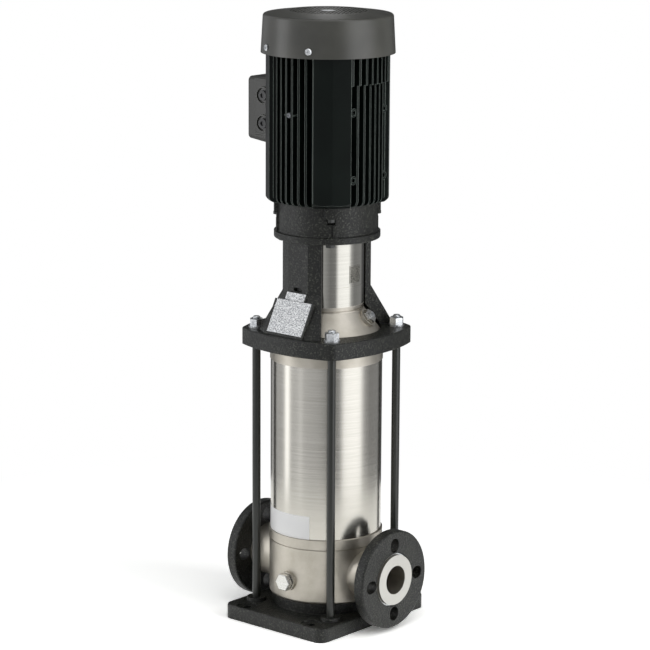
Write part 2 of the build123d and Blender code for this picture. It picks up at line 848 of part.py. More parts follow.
with BuildPart() as motor_stool:
    with BuildSketch(Plane.XY.offset(flange_bottom)):
        with BuildLine():
            for quarter in range(4):
                start = Vector(half, -half).rotate(Axis.Z, 90 * quarter)
                middle = Vector(side_middle, 0).rotate(Axis.Z, 90 * quarter)
                end = Vector(half, half).rotate(Axis.Z, 90 * quarter)
                ThreePointArc(start, middle, end)
        make_face()
        fillet(vertices(), stool_flange_corner)
    extrude(amount=stool_flange_thickness)
    rim = motor_stool.faces().sort_by(Axis.Z)[-1].edges()
    fillet(rim, 2)
    for turn in (0, 180):
        upper = column_section(
            flare_level, turn, column_face, column_facet, column_corner_x, column_corner_setback
        )
        lower = column_section(
            flange_top - 2, turn, foot_face, foot_facet, foot_half_width, foot_corner_setback
        )
        extrude(upper, amount=stool_top - flare_level)
        loft([lower, upper])
    with BuildSketch(Plane.XY.offset(stool_top - stool_ring_thickness)):
        Circle(stool_ring_radius)
    extrude(amount=stool_ring_thickness)
    ring_edges = motor_stool.edges().filter_by(GeomType.CIRCLE).filter_by(lambda e: e.radius == stool_ring_radius)
    fillet(ring_edges.sort_by(Axis.Z)[0], stool_ring_round)
    with BuildSketch(Plane.XY.offset(stool_top)):
        Circle(spigot_radius + thread_gap)
    extrude(amount=-(spigot_depth + loose_gap), mode=Mode.SUBTRACT)
    with BuildSketch(Plane.XY.offset(stool_top)):
        Circle(spigot_radius - spigot_ledge)
    extrude(amount=-stool_ring_thickness, mode=Mode.SUBTRACT)
    with BuildSketch(Plane.XZ):
        with BuildLine():
            Polyline(
                (0, flange_bottom - 1),
                (head_radius + loose_gap, flange_bottom - 1),
                (head_radius + loose_gap, head_shoulder),
                (stool_lip_radius, head_shoulder),
                (stool_lip_radius, flange_top + 2),
                (column_inner_radius, hollow_top),
                (0, hollow_top),
                (0, flange_bottom - 1),
            )
        make_face()
    revolve(axis=Axis.Z, mode=Mode.SUBTRACT)
    with BuildSketch(Plane.XY.offset(flange_bottom)):
        with GridLocations(staybolt_spacing, staybolt_spacing, 2, 2):
            Circle(staybolt_radius + loose_gap)
    extrude(amount=stool_flange_thickness, mode=Mode.SUBTRACT)
    with BuildSketch(Plane.XY.offset(stool_top)):
        with PolarLocations(motor_flange_pitch_radius, 4, start_angle=45):
            Circle(flange_bolt_radius + thread_gap)
    extrude(amount=-stool_ring_thickness, mode=Mode.SUBTRACT)
    with BuildSketch(plate_plane.offset(-plate_pad_height)):
        with Locations((0, -plate_frame / 2)):
            Rectangle(nameplate_width + 2 * plate_frame, nameplate_height + plate_frame)
    extrude(amount=2 * plate_pad_height)
    with BuildSketch(marker_plane.offset(-plate_pad_height)):
        Rectangle(marker_width + 2 * rivet_radius, marker_height)
    extrude(amount=2 * plate_pad_height)
    with BuildSketch(plate_plane.offset(plate_pad_height)):
        Rectangle(nameplate_width + loose_gap, nameplate_height + loose_gap)
    extrude(amount=-plate_pocket, mode=Mode.SUBTRACT)
    with BuildSketch(Plane.XZ.offset(column_face)):
        with Locations((0, flare_level + pocket_height / 2 + plate_pad_height)):
            SlotOverall(pocket_width, pocket_height)
    extrude(amount=-pocket_depth, mode=Mode.SUBTRACT)
save(motor_stool, "motor_stool")

# ---- Blank rating plate, marker plate and their rivets ----

plate_seat = plate_plane.offset(plate_pad_height - plate_pocket)
marker_seat = marker_plane.offset(plate_pad_height)

with BuildPart() as rating_plate:
    with BuildSketch(plate_seat):
        Rectangle(nameplate_width, nameplate_height)
    extrude(amount=nameplate_thickness)
save(rating_plate, "rating_plate")

with BuildPart() as marker_plate:
    with BuildSketch(marker_seat):
        Rectangle(marker_width, marker_height)
    extrude(amount=nameplate_thickness)
save(marker_plate, "marker_plate")

with BuildPart() as plate_rivets:
    with BuildSketch(plate_seat.offset(nameplate_thickness)):
        with GridLocations(nameplate_width - 14, 0, 2, 1):
            Circle(rivet_radius)
    extrude(amount=rivet_height)
    with BuildSketch(marker_seat.offset(nameplate_thickness)):
        with GridLocations(marker_width - 6, 0, 2, 1):
            Circle(rivet_radius * 0.7)
    extrude(amount=rivet_height)
save(plate_rivets, "plate_rivets")

# ---- Coupling guards: rolled sheet with an embossed panel ----


def guard_sheet(side):
    """The guard on +X for side = 1, and on -X for side = -1."""
    facing = 90 - 90 * side
    guard_top = guard_bottom + guard_height
    panel_foot = guard_bottom + guard_panel_lift
    crease_foot = guard_bottom + guard_crease_lift
    tab_foot = guard_top - guard_tab_drop
    raised = guard_radius + guard_emboss
    inner = guard_radius - guard_thickness
    with BuildPart() as sheet:
        for turn, half_angle, foot, top, outer in (
            (0, guard_half_angle, guard_bottom, guard_top, guard_radius),
            (0, guard_panel_angle, panel_foot, panel_foot + guard_panel_height, raised),
            (0, guard_crease_angle, crease_foot, crease_foot + guard_crease_height, raised),
            (-guard_tab_turn, guard_tab_angle, tab_foot, tab_foot + guard_tab_height, raised),
            (guard_tab_turn, guard_tab_angle, tab_foot, tab_foot + guard_tab_height, raised),
        ):
            edge = radians(facing + turn - half_angle)
            section = Plane(
                origin=(0, 0, 0), x_dir=(cos(edge), sin(edge), 0), z_dir=(sin(edge), -cos(edge), 0)
            )
            with BuildSketch(section):
                with Locations(((inner + outer) / 2, (foot + top) / 2)):
                    Rectangle(outer - inner, top - foot)
            revolve(axis=Axis.Z, revolution_arc=2 * half_angle)
    return sheet


for hand, side in (("left", -1), ("right", 1)):
    save(guard_sheet(side), f"coupling_guard_{hand}")

# ---- Pump shaft, shaft seal and split coupling ----

pin_level = (coupling_bottom + pump_shaft_top) / 2
pin_reach = 1.6 * pump_shaft_radius
coupling_middle = (coupling_bottom + coupling_top) / 2
screw_head_seat = coupling_radius / 3 + coupling_screw_radius
seal_face = head_top - seal_roof - seal_seat_height

with BuildPart() as pump_shaft:
    with BuildSketch(Plane.XY.offset(shaft_foot)):
        Circle(pump_shaft_radius)
    extrude(amount=pump_shaft_top - shaft_foot)
    chamfer(pump_shaft.edges().filter_by(GeomType.CIRCLE), 1)
    with BuildSketch(Plane.YZ.offset(-pump_shaft_radius)):
        with Locations((0, pin_level)):
            Circle(shaft_pin_radius + running_gap)
    extrude(amount=2 * pump_shaft_radius, mode=Mode.SUBTRACT)
save(pump_shaft, "pump_shaft")

with BuildPart() as shaft_pin:
    with BuildSketch(Plane.YZ):
        with Locations((0, pin_level)):
            Circle(shaft_pin_radius)
    extrude(amount=pin_reach, both=True)
save(shaft_pin, "shaft_pin")

with BuildPart() as seal_cartridge:
    with BuildSketch(Plane.XY.offset(head_top)):
        RegularPolygon(seal_hex / 2, 6, major_radius=False)
    extrude(amount=seal_head_height)
    with BuildSketch(Plane.XY.offset(head_top)):
        Circle(seal_bore_radius - thread_gap)
    extrude(amount=-seal_depth)
    with BuildSketch(Plane.XY.offset(head_top - seal_depth)):
        Circle(seal_bore_radius - seal_wall)
    extrude(amount=seal_depth - seal_roof, mode=Mode.SUBTRACT)
    with BuildSketch(Plane.XY.offset(head_top + seal_head_height)):
        Circle(pump_shaft_radius + 1)
    extrude(amount=-(seal_head_height + seal_depth), mode=Mode.SUBTRACT)
save(seal_cartridge, "seal_cartridge")

with BuildPart() as seal_seat:
    with BuildSketch(Plane.XY.offset(head_top - seal_roof)):
        Circle(seal_bore_radius - seal_wall - thread_gap)
        Circle(pump_shaft_radius + 1, mode=Mode.SUBTRACT)
    extrude(amount=-seal_seat_height)
save(seal_seat, "seal_seat")

with BuildPart() as seal_ring:
    with BuildSketch(Plane.XY.offset(seal_face - running_gap)):
        Circle(pump_shaft_radius + seal_wall)
        Circle(pump_shaft_radius + running_gap, mode=Mode.SUBTRACT)
    extrude(amount=-seal_face_height)
    with BuildSketch(Plane.XY.offset(seal_face - running_gap - seal_face_height)):
        Circle(pump_shaft_radius + seal_wall + 2)
        Circle(pump_shaft_radius + running_gap, mode=Mode.SUBTRACT)
    extrude(amount=-seal_spring_height)
save(seal_ring, "seal_ring")


def coupling_half(side):
    """The coupling half towards -Y for side = 1, which takes the screw heads, or towards +Y."""
    with BuildPart() as shell:
        with BuildSketch(Plane.XY.offset(coupling_bottom)):
            Circle(coupling_radius)
        extrude(amount=coupling_length)
        chamfer(shell.edges().filter_by(GeomType.CIRCLE), 2)
        with BuildSketch(Plane.XY.offset(coupling_bottom)):
            Circle(pump_shaft_radius + running_gap)
        extrude(amount=coupling_length, mode=Mode.SUBTRACT)
        with BuildSketch(Plane.XY.offset(pump_shaft_top + 1)):
            Circle(motor_shaft_radius + running_gap)
        extrude(amount=coupling_length, mode=Mode.SUBTRACT)
        with BuildSketch(Plane.YZ):
            with Locations((0, pin_level)):
                Circle(shaft_pin_radius + running_gap)
        extrude(amount=pin_reach + running_gap, both=True, mode=Mode.SUBTRACT)
        with BuildSketch(Plane.XZ):
            with Locations((0, coupling_middle)):
                with GridLocations(2 * coupling_screw_offset, coupling_length / 2, 2, 2):
                    Circle(coupling_screw_radius + thread_gap)
        extrude(amount=coupling_radius, both=True, mode=Mode.SUBTRACT)
        with BuildSketch(Plane.XZ.offset(screw_head_seat)):
            with Locations((0, coupling_middle)):
                with GridLocations(2 * coupling_screw_offset, coupling_length / 2, 2, 2):
                    Circle(1.8 * coupling_screw_radius)
        extrude(amount=coupling_radius, mode=Mode.SUBTRACT)
        split(bisect_by=Plane.XZ.offset(side * coupling_split / 2), keep=Keep.TOP if side > 0 else Keep.BOTTOM)
    return shell


save(coupling_half(1), "coupling_half_front")
save(coupling_half(-1), "coupling_half_back")

with BuildPart() as coupling_screws:
    with BuildSketch(Plane.XZ.offset(screw_head_seat)):
        with Locations((0, coupling_middle)):
            with GridLocations(2 * coupling_screw_offset, coupling_length / 2, 2, 2):
                Circle(coupling_screw_radius)
    extrude(amount=-(screw_head_seat + 0.5 * coupling_radius))
    with BuildSketch(Plane.XZ.offset(screw_head_seat)):
        with Locations((0, coupling_middle)):
            with GridLocations(2 * coupling_screw_offset, coupling_length / 2, 2, 2):
                Circle(1.6 * coupling_screw_radius)
    extrude(amount=8)
save(coupling_screws, "coupling_screws")

# ---- Motor: drive-end shield on the stool's ring ----

bearing_floor = stool_top + bearing_lift
motor_flange_top = stool_top + motor_flange_thickness
housing_spigot = stator_radius - thread_gap
hub_wall_radius = bearing_outer_radius + bearing_hub_wall

with BuildPart() as drive_end_shield:
    with BuildSketch(Plane.XZ):
        with BuildLine():
            Polyline(
                (shield_radius, motor_flange_top + motor_flange_fillet),
                (shield_radius, shield_top),
                (housing_spigot, shield_top),
                (housing_spigot, shield_top + shield_spigot),
                (housing_spigot - shield_spigot_wall, shield_top + shield_spigot),
                (housing_spigot - shield_spigot_wall, stool_top + shield_wall),
                (hub_wall_radius, stool_top + shield_wall),
                (hub_wall_radius, bearing_floor + bearing_width),
                (bearing_outer_radius, bearing_floor + bearing_width),
                (bearing_outer_radius, bearing_floor),
                (journal_radius + 3, bearing_floor),
                (journal_radius + 3, stool_top - spigot_depth),
                (spigot_radius, stool_top - spigot_depth),
                (spigot_radius, stool_top),
                (stool_ring_radius, stool_top),
                (stool_ring_radius, motor_flange_top),
                (shield_radius + motor_flange_fillet, motor_flange_top),
            )
            RadiusArc(
                (shield_radius + motor_flange_fillet, motor_flange_top),
                (shield_radius, motor_flange_top + motor_flange_fillet),
                motor_flange_fillet,
            )
        make_face()
    revolve(axis=Axis.Z)
    with BuildSketch(Plane.XY.offset(shield_top)):
        with PolarLocations((stator_radius + lug_reach) / 2, 4, start_angle=45):
            Rectangle(lug_reach - stator_radius, lug_width)
        Circle(lug_reach, mode=Mode.INTERSECT)
    extrude(amount=-lug_height)
    with BuildSketch(Plane.XY.offset(motor_flange_top)):
        for turn in range(45, 360, 90):
            with Locations(Plane.XY.rotated((0, 0, turn))):
                with Locations(((stator_radius + lug_reach) / 2, lug_rib_shift)):
                    Rectangle(lug_reach - stator_radius, lug_rib_width)
        Circle((shield_radius + lug_reach) / 2, mode=Mode.INTERSECT)
    extrude(amount=shield_top - lug_height - motor_flange_top)
    with BuildSketch(Plane.XY.offset(shield_top)):
        with PolarLocations(lug_radius, 4, start_angle=45):
            Circle(bolt_radius + thread_gap)
    extrude(amount=-lug_height, mode=Mode.SUBTRACT)
    with BuildSketch(Plane.XY.offset(shield_top - lug_height)):
        with PolarLocations(lug_radius, 4, start_angle=45):
            Circle(bolt_hex / 2 + bolt_head_room)
    extrude(amount=-2 * bolt_head_height, mode=Mode.SUBTRACT)
    with BuildSketch(Plane.XY.offset(stool_top)):
        with PolarLocations(motor_flange_pitch_radius, 4, start_angle=45):
            Circle(flange_bolt_radius + thread_gap)
    extrude(amount=flange_bolt_reach + 1, mode=Mode.SUBTRACT)
save(drive_end_shield, "drive_end_shield")

with BuildPart() as motor_flange_bolts:
    with BuildSketch(Plane.XY.offset(stool_top - stool_ring_thickness)):
        with PolarLocations(motor_flange_pitch_radius, 4, start_angle=45):
            RegularPolygon(flange_bolt_hex / 2, 6, major_radius=False)
    extrude(amount=-flange_bolt_head)
    with BuildSketch(Plane.XY.offset(stool_top - stool_ring_thickness)):
        with PolarLocations(motor_flange_pitch_radius, 4, start_angle=45):
            Circle(flange_bolt_radius)
    extrude(amount=stool_ring_thickness + flange_bolt_reach)
save(motor_flange_bolts, "motor_flange_bolts")

# ---- Motor: housing with parallel fins and four smooth corner pads ----

fin_offsets = [fin_pitch * (index - (fins_per_side - 1) / 2) for index in range(fins_per_side)]
pad_shoulder = pad_radius - pad_crown
foot_boss_middle = shield_top + foot_boss_lift + foot_boss_pitch / 2
pad_corner = sqrt(pad_shoulder**2 + pad_half_width**2)


def corner_cut(outer):
    """Ring profile that rounds whatever reaches the given radius at the housing's lower end."""
    with BuildSketch(Plane.XZ) as ring:
        with BuildLine():
            Line((outer - fin_foot_round, shield_top), (outer + 5, shield_top))
            Line((outer + 5, shield_top), (outer + 5, shield_top + fin_foot_round))
            Line((outer + 5, shield_top + fin_foot_round), (outer, shield_top + fin_foot_round))
            RadiusArc(
                (outer, shield_top + fin_foot_round), (outer - fin_foot_round, shield_top), fin_foot_round
            )
        make_face()
    return ring.sketch


with BuildPart() as motor_housing:
    with BuildSketch(Plane.XY.offset(shield_top)):
        for offset_y in fin_offsets:
            with Locations((0, offset_y)):
                Rectangle(2 * fin_radius, fin_thickness)
            with Locations((offset_y, 0)):
                Rectangle(fin_thickness, 2 * fin_radius)
        Circle(fin_radius, mode=Mode.INTERSECT)
    extrude(amount=housing_height)
    with BuildSketch(Plane.XY.offset(housing_top)):
        for offset_y in fin_offsets:
            with Locations((0, offset_y)):
                Rectangle(2 * fin_step_radius, fin_thickness)
        Circle(fin_step_radius, mode=Mode.INTERSECT)
    extrude(amount=-fin_step_height)
    revolve(corner_cut(fin_radius), axis=Axis.Z, mode=Mode.SUBTRACT)
    with BuildSketch(Plane.XY.offset(shield_top)):
        Circle(housing_radius)
        for turn in range(45, 360, 90):
            with BuildLine(Plane.XY.rotated((0, 0, turn))):
                Polyline(
                    (stator_radius, -pad_half_width),
                    (pad_shoulder, -pad_half_width),
                    (pad_radius, 0),
                    (pad_shoulder, pad_half_width),
                    (stator_radius, pad_half_width),
                    close=True,
                )
            make_face()
    extrude(amount=housing_height)
    revolve(corner_cut(pad_corner), axis=Axis.Z, mode=Mode.SUBTRACT)
    with BuildSketch(Plane.YZ.offset(foot_boss_face)):
        with Locations((0, foot_boss_middle)):
            with GridLocations(6 * fin_pitch, foot_boss_pitch, 2, 2):
                Circle(foot_boss_radius)
    extrude(amount=stator_radius - foot_boss_face)
    with BuildSketch(Plane.XZ.offset(lifting_boss_face)):
        with Locations((0, shield_top + lifting_boss_lift)):
            Circle(lifting_boss_radius)
            Rectangle(lifting_web_width, fin_thickness / 2)
    extrude(amount=stator_radius - lifting_boss_face)
    with BuildSketch(Plane.YZ.offset(entry_boss_radius + 1 - entry_face)):
        with Locations((0, box_middle)):
            Rectangle(2 * (box_half_width + entry_head_height), box_height)
    extrude(amount=-box_depth, mode=Mode.SUBTRACT)
    with BuildSketch(Plane.YZ.offset(-box_inner_face)):
        with Locations((0, box_middle)):
            Rectangle(2 * (box_half_width - box_wall), box_height - 2 * box_wall)
    extrude(amount=box_inner_face - stator_radius)
    with BuildSketch(Plane.YZ.offset(-box_inner_face)):
        with Locations((0, box_middle)):
            Rectangle(2 * (box_half_width + loose_gap), box_height + 2 * loose_gap)
    extrude(amount=-box_depth, mode=Mode.SUBTRACT)
    with BuildSketch(Plane.XY.offset(shield_top)):
        Circle(stator_radius)
    extrude(amount=housing_height, mode=Mode.SUBTRACT)
    for end, inward in ((shield_top, 1), (housing_top, -1)):
        with BuildSketch(Plane.XY.offset(end)):
            with PolarLocations(lug_radius, 4, start_angle=45):
                Circle(bolt_radius + thread_gap)
        extrude(amount=(bolt_reach + 2) * inward, mode=Mode.SUBTRACT)
    with BuildSketch(Plane.YZ.offset(foot_boss_face)):
        with Locations((0, foot_boss_middle)):
            with GridLocations(6 * fin_pitch, foot_boss_pitch, 2, 2):
                Circle(foot_hole_radius)
    extrude(amount=-foot_hole_depth, mode=Mode.SUBTRACT)
save(motor_housing, "motor_housing")

with BuildPart() as stator_core:
    with BuildSketch(Plane.XY.offset(core_middle - core_length / 2)):
        Circle(stator_radius - thread_gap)
        Circle(rotor_radius + air_gap, mode=Mode.SUBTRACT)
    extrude(amount=core_length)
save(stator_core, "stator_core")

with BuildPart() as stator_windings:
    for level in (core_middle + core_length / 2, core_middle - core_length / 2 - winding_height):
        with BuildSketch(Plane.XY.offset(level)):
            Circle(stator_radius - 6)
            Circle(rotor_radius + 4, mode=Mode.SUBTRACT)
        extrude(amount=winding_height)
save(stator_windings, "stator_windings")

# ---- Motor: shaft, rotor core, bearings ----

upper_bearing = housing_top - bearing_width
fan_bottom = housing_top + bearing_width
ball_circle = (journal_radius + bearing_outer_radius) / 2
race_radius = ball_radius + running_gap

with BuildPart() as motor_shaft:
    with BuildSketch(Plane.XZ):
        with BuildLine():
            Polyline(
                (0, motor_shaft_end),
                (motor_shaft_radius - 1, motor_shaft_end),
                (motor_shaft_radius, motor_shaft_end + 1),
                (motor_shaft_radius, bearing_floor),
                (journal_radius, bearing_floor),
                (journal_radius, bearing_floor + bearing_width),
                (core_seat_radius, bearing_floor + bearing_width),
                (core_seat_radius, upper_bearing),
                (journal_radius, upper_bearing),
                (journal_radius, housing_top),
                (journal_radius - 4, housing_top),
                (journal_radius - 4, fan_bottom + fan_height + 3),
                (0, fan_bottom + fan_height + 3),
                close=True,
            )
        make_face()
    revolve(axis=Axis.Z)
save(motor_shaft, "motor_shaft")

with BuildPart() as rotor_core:
    with BuildSketch(Plane.XY.offset(core_middle - core_length / 2 - 8)):
        Circle(rotor_radius - 2)
        Circle(core_seat_radius + running_gap, mode=Mode.SUBTRACT)
    extrude(amount=core_length + 16)
    with BuildSketch(Plane.XY.offset(core_middle - core_length / 2)):
        Circle(rotor_radius)
        Circle(core_seat_radius + running_gap, mode=Mode.SUBTRACT)
    extrude(amount=core_length)
save(rotor_core, "rotor_core")


def bearing_ring(inner, outer):
    """A race of each of the two bearings, grooved for the balls."""
    with BuildPart() as ring:
        for level in (bearing_floor, upper_bearing):
            with BuildSketch(Plane.XZ):
                with Locations(((inner + outer) / 2, level + bearing_width / 2)):
                    Rectangle(outer - inner, bearing_width)
                with Locations((ball_circle, level + bearing_width / 2)):
                    Circle(race_radius, mode=Mode.SUBTRACT)
            revolve(axis=Axis.Z)
    return ring


save(bearing_ring(journal_radius, ball_circle - ball_radius * 0.55), "bearing_inner_rings")
save(bearing_ring(ball_circle + ball_radius * 0.55, bearing_outer_radius), "bearing_outer_rings")

with BuildPart() as bearing_balls:
    for level in (bearing_floor, upper_bearing):
        with BuildSketch(Plane.XY.offset(level + bearing_width / 2 - 1)):
            Circle(ball_circle + 1.2)
            Circle(ball_circle - 1.2, mode=Mode.SUBTRACT)
        extrude(amount=2)
        with Locations((0, 0, level + bearing_width / 2)):
            with PolarLocations(ball_circle, ball_count):
                Sphere(ball_radius)
save(bearing_balls, "bearing_balls")

# ---- Motor: non-drive shield, end-shield bolts, fan and fan cover ----

cover_inside = cover_top_radius - cover_wall
cover_screw_level = cover_bottom + cover_screw_height
cover_screw_turns = [
    middle + offset for middle in (-90, 90) for offset in (-cover_screw_angle, cover_screw_angle)
]
shield_disc = 6.0

with BuildPart() as non_drive_shield:
    with BuildSketch(Plane.XZ):
        with BuildLine():
            Polyline(
                (journal_radius - 2, housing_top + shield_disc),
                (lug_radius + 6, housing_top + shield_disc),
                (lug_radius + 6, housing_top),
                (housing_spigot, housing_top),
                (housing_spigot, housing_top - 5),
                (housing_spigot - 6, housing_top - 5),
                (housing_spigot - 6, housing_top),
                (hub_wall_radius, housing_top),
                (hub_wall_radius, upper_bearing),
                (bearing_outer_radius, upper_bearing),
                (bearing_outer_radius, housing_top),
                (journal_radius - 2, housing_top),
                close=True,
            )
        make_face()
    revolve(axis=Axis.Z)
    for turn in cover_screw_turns:
        with BuildSketch(Plane.XY.offset(housing_top).rotated((0, 0, turn))):
            with Locations(((lug_radius + cover_inside) / 2, 0)):
                Rectangle(cover_inside - lug_radius, 12)
        extrude(amount=13)
        with BuildSketch(Plane.YZ.rotated((0, 0, turn)).offset(cover_inside)):
            with Locations((0, cover_screw_level)):
                Circle(cover_screw_radius + thread_gap)
        extrude(amount=-12, mode=Mode.SUBTRACT)
    with BuildSketch(Plane.XY.offset(housing_top)):
        with PolarLocations(lug_radius, 4, start_angle=45):
            Circle(bolt_radius + thread_gap)
    extrude(amount=shield_disc, mode=Mode.SUBTRACT)
save(non_drive_shield, "non_drive_shield")

with BuildPart() as end_shield_bolts:
    for seat, grip, inward in (
        (shield_top - lug_height, lug_height, 1),
        (housing_top + shield_disc, shield_disc, -1),
    ):
        with BuildSketch(Plane.XY.offset(seat)):
            with PolarLocations(lug_radius, 4, start_angle=45):
                RegularPolygon(bolt_hex / 2, 6, major_radius=False)
        extrude(amount=-bolt_head_height * inward)
        with BuildSketch(Plane.XY.offset(seat)):
            with PolarLocations(lug_radius, 4, start_angle=45):
                Circle(bolt_radius)
        extrude(amount=(grip + bolt_reach) * inward)
save(end_shield_bolts, "end_shield_bolts")

with BuildPart() as fan:
    with BuildSketch(Plane.XY.offset(fan_bottom)):
        Circle(fan_radius)
    extrude(amount=2)
    with BuildSketch(Plane.XY.offset(fan_bottom)):
        with PolarLocations(fan_radius / 2, fan_blade_count):
            Rectangle(fan_radius, 2)
        Circle(journal_radius + 2)
    extrude(amount=fan_height)
    with BuildSketch(Plane.XY.offset(fan_bottom)):
        Circle(journal_radius - 4 + running_gap)
    extrude(amount=fan_height, mode=Mode.SUBTRACT)
save(fan, "fan")


def cover_form(inset):
    """Section of the fan cover's skin, brought in by the inset."""
    rim = cover_radius - inset
    edge = cover_top_radius - inset
    crown = cover_top - inset
    with BuildSketch(Plane.XZ) as form:
        with BuildLine():
            Polyline(
                (edge, crown - 2 * cover_edge_round),
                (rim, cover_bottom),
                (0, cover_bottom),
                (0, crown),
                (grille_radius + 1, crown),
                (edge - cover_edge_round, crown - cover_edge_round),
            )
            ThreePointArc(
                (edge - cover_edge_round, crown - cover_edge_round),
                (edge - 0.25 * cover_edge_round, crown - 1.3 * cover_edge_round),
                (edge, crown - 2 * cover_edge_round),
            )
        make_face()
    return form.sketch


grille_spots = [
    spot.position
    for spot in HexLocations(grille_pitch / 2, 15, 15)
    if grille_hub_radius + grille_hole / 2 < spot.position.length < grille_radius - grille_hole / 2
]

with BuildPart() as fan_cover:
    revolve(cover_form(0), axis=Axis.Z)
    revolve(cover_form(cover_wall), axis=Axis.Z, mode=Mode.SUBTRACT)
    with BuildSketch(Plane.XY.offset(cover_top)):
        with Locations(*grille_spots):
            RegularPolygon(grille_hole / 2, 6, major_radius=False, rotation=30)
    extrude(amount=-cover_wall, mode=Mode.SUBTRACT)
    for turn in cover_screw_turns:
        with BuildSketch(Plane.YZ.rotated((0, 0, turn))):
            with Locations((0, cover_screw_level)):
                Circle(cover_screw_radius + thread_gap)
        extrude(amount=cover_radius + 1, mode=Mode.SUBTRACT)
save(fan_cover, "fan_cover")

cover_taper = (cover_radius - cover_top_radius) / (cover_height - 2 * cover_edge_round)
cover_screw_seat = cover_radius - cover_taper * (cover_screw_height - 2 * cover_screw_radius)

with BuildPart() as cover_screws:
    for turn in cover_screw_turns:
        with BuildSketch(Plane.YZ.rotated((0, 0, turn)).offset(cover_screw_seat)):
            with Locations((0, cover_screw_level)):
                Circle(2 * cover_screw_radius)
        extrude(amount=2.5)
        with BuildSketch(Plane.YZ.rotated((0, 0, turn)).offset(cover_screw_seat)):
            with Locations((0, cover_screw_level)):
                Circle(cover_screw_radius)
        extrude(amount=-12)
save(cover_screws, "cover_screws")

# ---- Terminal box on the -X side of the motor ----

lid_reach = box_depth + lid_depth
entry_rim = box_half_width + entry_rim_height
entry_seat = entry_rim - entry_recess_depth


def box_section(depth, inset=0.0):
    """Outline of the drafted box at a depth from its inner face, brought in by the inset."""
    narrowing = inset + depth * box_draft
    with BuildSketch(Plane.YZ.offset(-box_inner_face - depth)) as section:
        with Locations((0, box_middle)):
            RectangleRounded(2 * (box_half_width - narrowing), box_height - 2 * narrowing, box_corner)
    return section.sketch


def lid_spots(depth, radius):
    """Discs round the four lid screws at a depth from the box's inner face."""
    with BuildSketch(Plane.YZ.offset(-box_inner_face - depth)) as spots:
        with Locations((0, box_middle)):
            with GridLocations(
                2 * (box_half_width - lid_screw_inset), box_height - 2 * lid_screw_inset, 2, 2
            ):
                Circle(radius)
    return spots.sketch


def entry_spots(level, radius):
    """Discs round the two cable entries of one side, at a distance from the box's middle plane."""
    with BuildSketch(Plane.XZ.offset(level)) as spots:
        with Locations((-entry_face, box_middle)):
            with GridLocations(0, entry_spacing, 1, 2):
                Circle(radius)
    return spots.sketch


with BuildPart() as terminal_box:
    loft([box_section(0), box_section(box_depth)])
    extrude(entry_spots(-entry_rim, entry_boss_radius), amount=2 * entry_rim)
    with BuildSketch(Plane.YZ.offset(-box_inner_face - box_wall)):
        for drop in box_rib_drops:
            with Locations((0, box_top - drop)):
                Rectangle(2 * box_half_width - 1, box_rib)
    extrude(amount=box_wall + 1 - box_depth)
    loft([box_section(box_wall, box_wall), box_section(box_depth + 1, box_wall)], mode=Mode.SUBTRACT)
    extrude(lid_spots(0, lid_post_radius), amount=-box_depth)
    extrude(lid_spots(box_depth, lid_screw_radius + thread_gap), amount=lid_thread_depth, mode=Mode.SUBTRACT)
    extrude(entry_spots(-entry_rim, entry_thread_radius + thread_gap), amount=2 * entry_rim, mode=Mode.SUBTRACT)
    for side in (-1, 1):
        recess = entry_spots(side * entry_rim, entry_recess_radius)
        extrude(recess, amount=-side * entry_recess_depth, mode=Mode.SUBTRACT)
    with BuildSketch(Plane.YZ.offset(-box_inner_face)):
        with Locations((0, box_middle)):
            Rectangle(2 * box_half_width + entry_boss_radius, box_height)
    extrude(amount=entry_boss_radius, mode=Mode.SUBTRACT)
save(terminal_box, "terminal_box")

with BuildPart() as terminal_lid:
    loft([box_section(box_depth), box_section(box_depth + lid_depth)])
    fillet(terminal_lid.faces().sort_by(Axis.X)[0].edges(), 2.5)
    extrude(lid_spots(box_depth, lid_screw_radius + thread_gap), amount=-lid_depth, mode=Mode.SUBTRACT)
    extrude(lid_spots(lid_reach, lid_screw_head + loose_gap), amount=lid_head_recess, mode=Mode.SUBTRACT)
save(terminal_lid, "terminal_lid")

with BuildPart() as lid_screws:
    extrude(lid_spots(lid_reach - lid_head_recess, lid_screw_head), amount=-lid_head_height)
    extrude(lid_spots(lid_reach - lid_head_recess, lid_screw_radius), amount=lid_depth + lid_thread_depth / 2)
save(lid_screws, "lid_screws")

with BuildPart() as terminal_block:
    with BuildSketch(Plane.YZ.offset(-box_inner_face - box_wall)):
        with Locations((0, box_middle)):
            Rectangle(block_width, block_height)
    extrude(amount=-block_thickness)
    with BuildSketch(Plane.YZ.offset(-box_inner_face - box_wall - block_thickness)):
        with Locations((0, box_middle)):
            with GridLocations(stud_pitch_y, stud_pitch_z, 2, 3):
                Circle(stud_radius)
    extrude(amount=-stud_height)
save(terminal_block, "terminal_block")

with BuildPart() as entry_plugs:
    for side in (-1, 1):
        extrude(entry_spots(side * entry_seat, entry_head_radius), amount=side * entry_head_height)
        extrude(entry_spots(side * entry_seat, entry_thread_radius), amount=-side * box_wall)
        socket = entry_spots(side * (entry_seat + entry_head_height), entry_socket_radius)
        extrude(socket, amount=-side * entry_socket_depth, mode=Mode.SUBTRACT)
save(entry_plugs, "entry_plugs")
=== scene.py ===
import json
import math
import bmesh
import bpy
from mathutils import Matrix, Vector

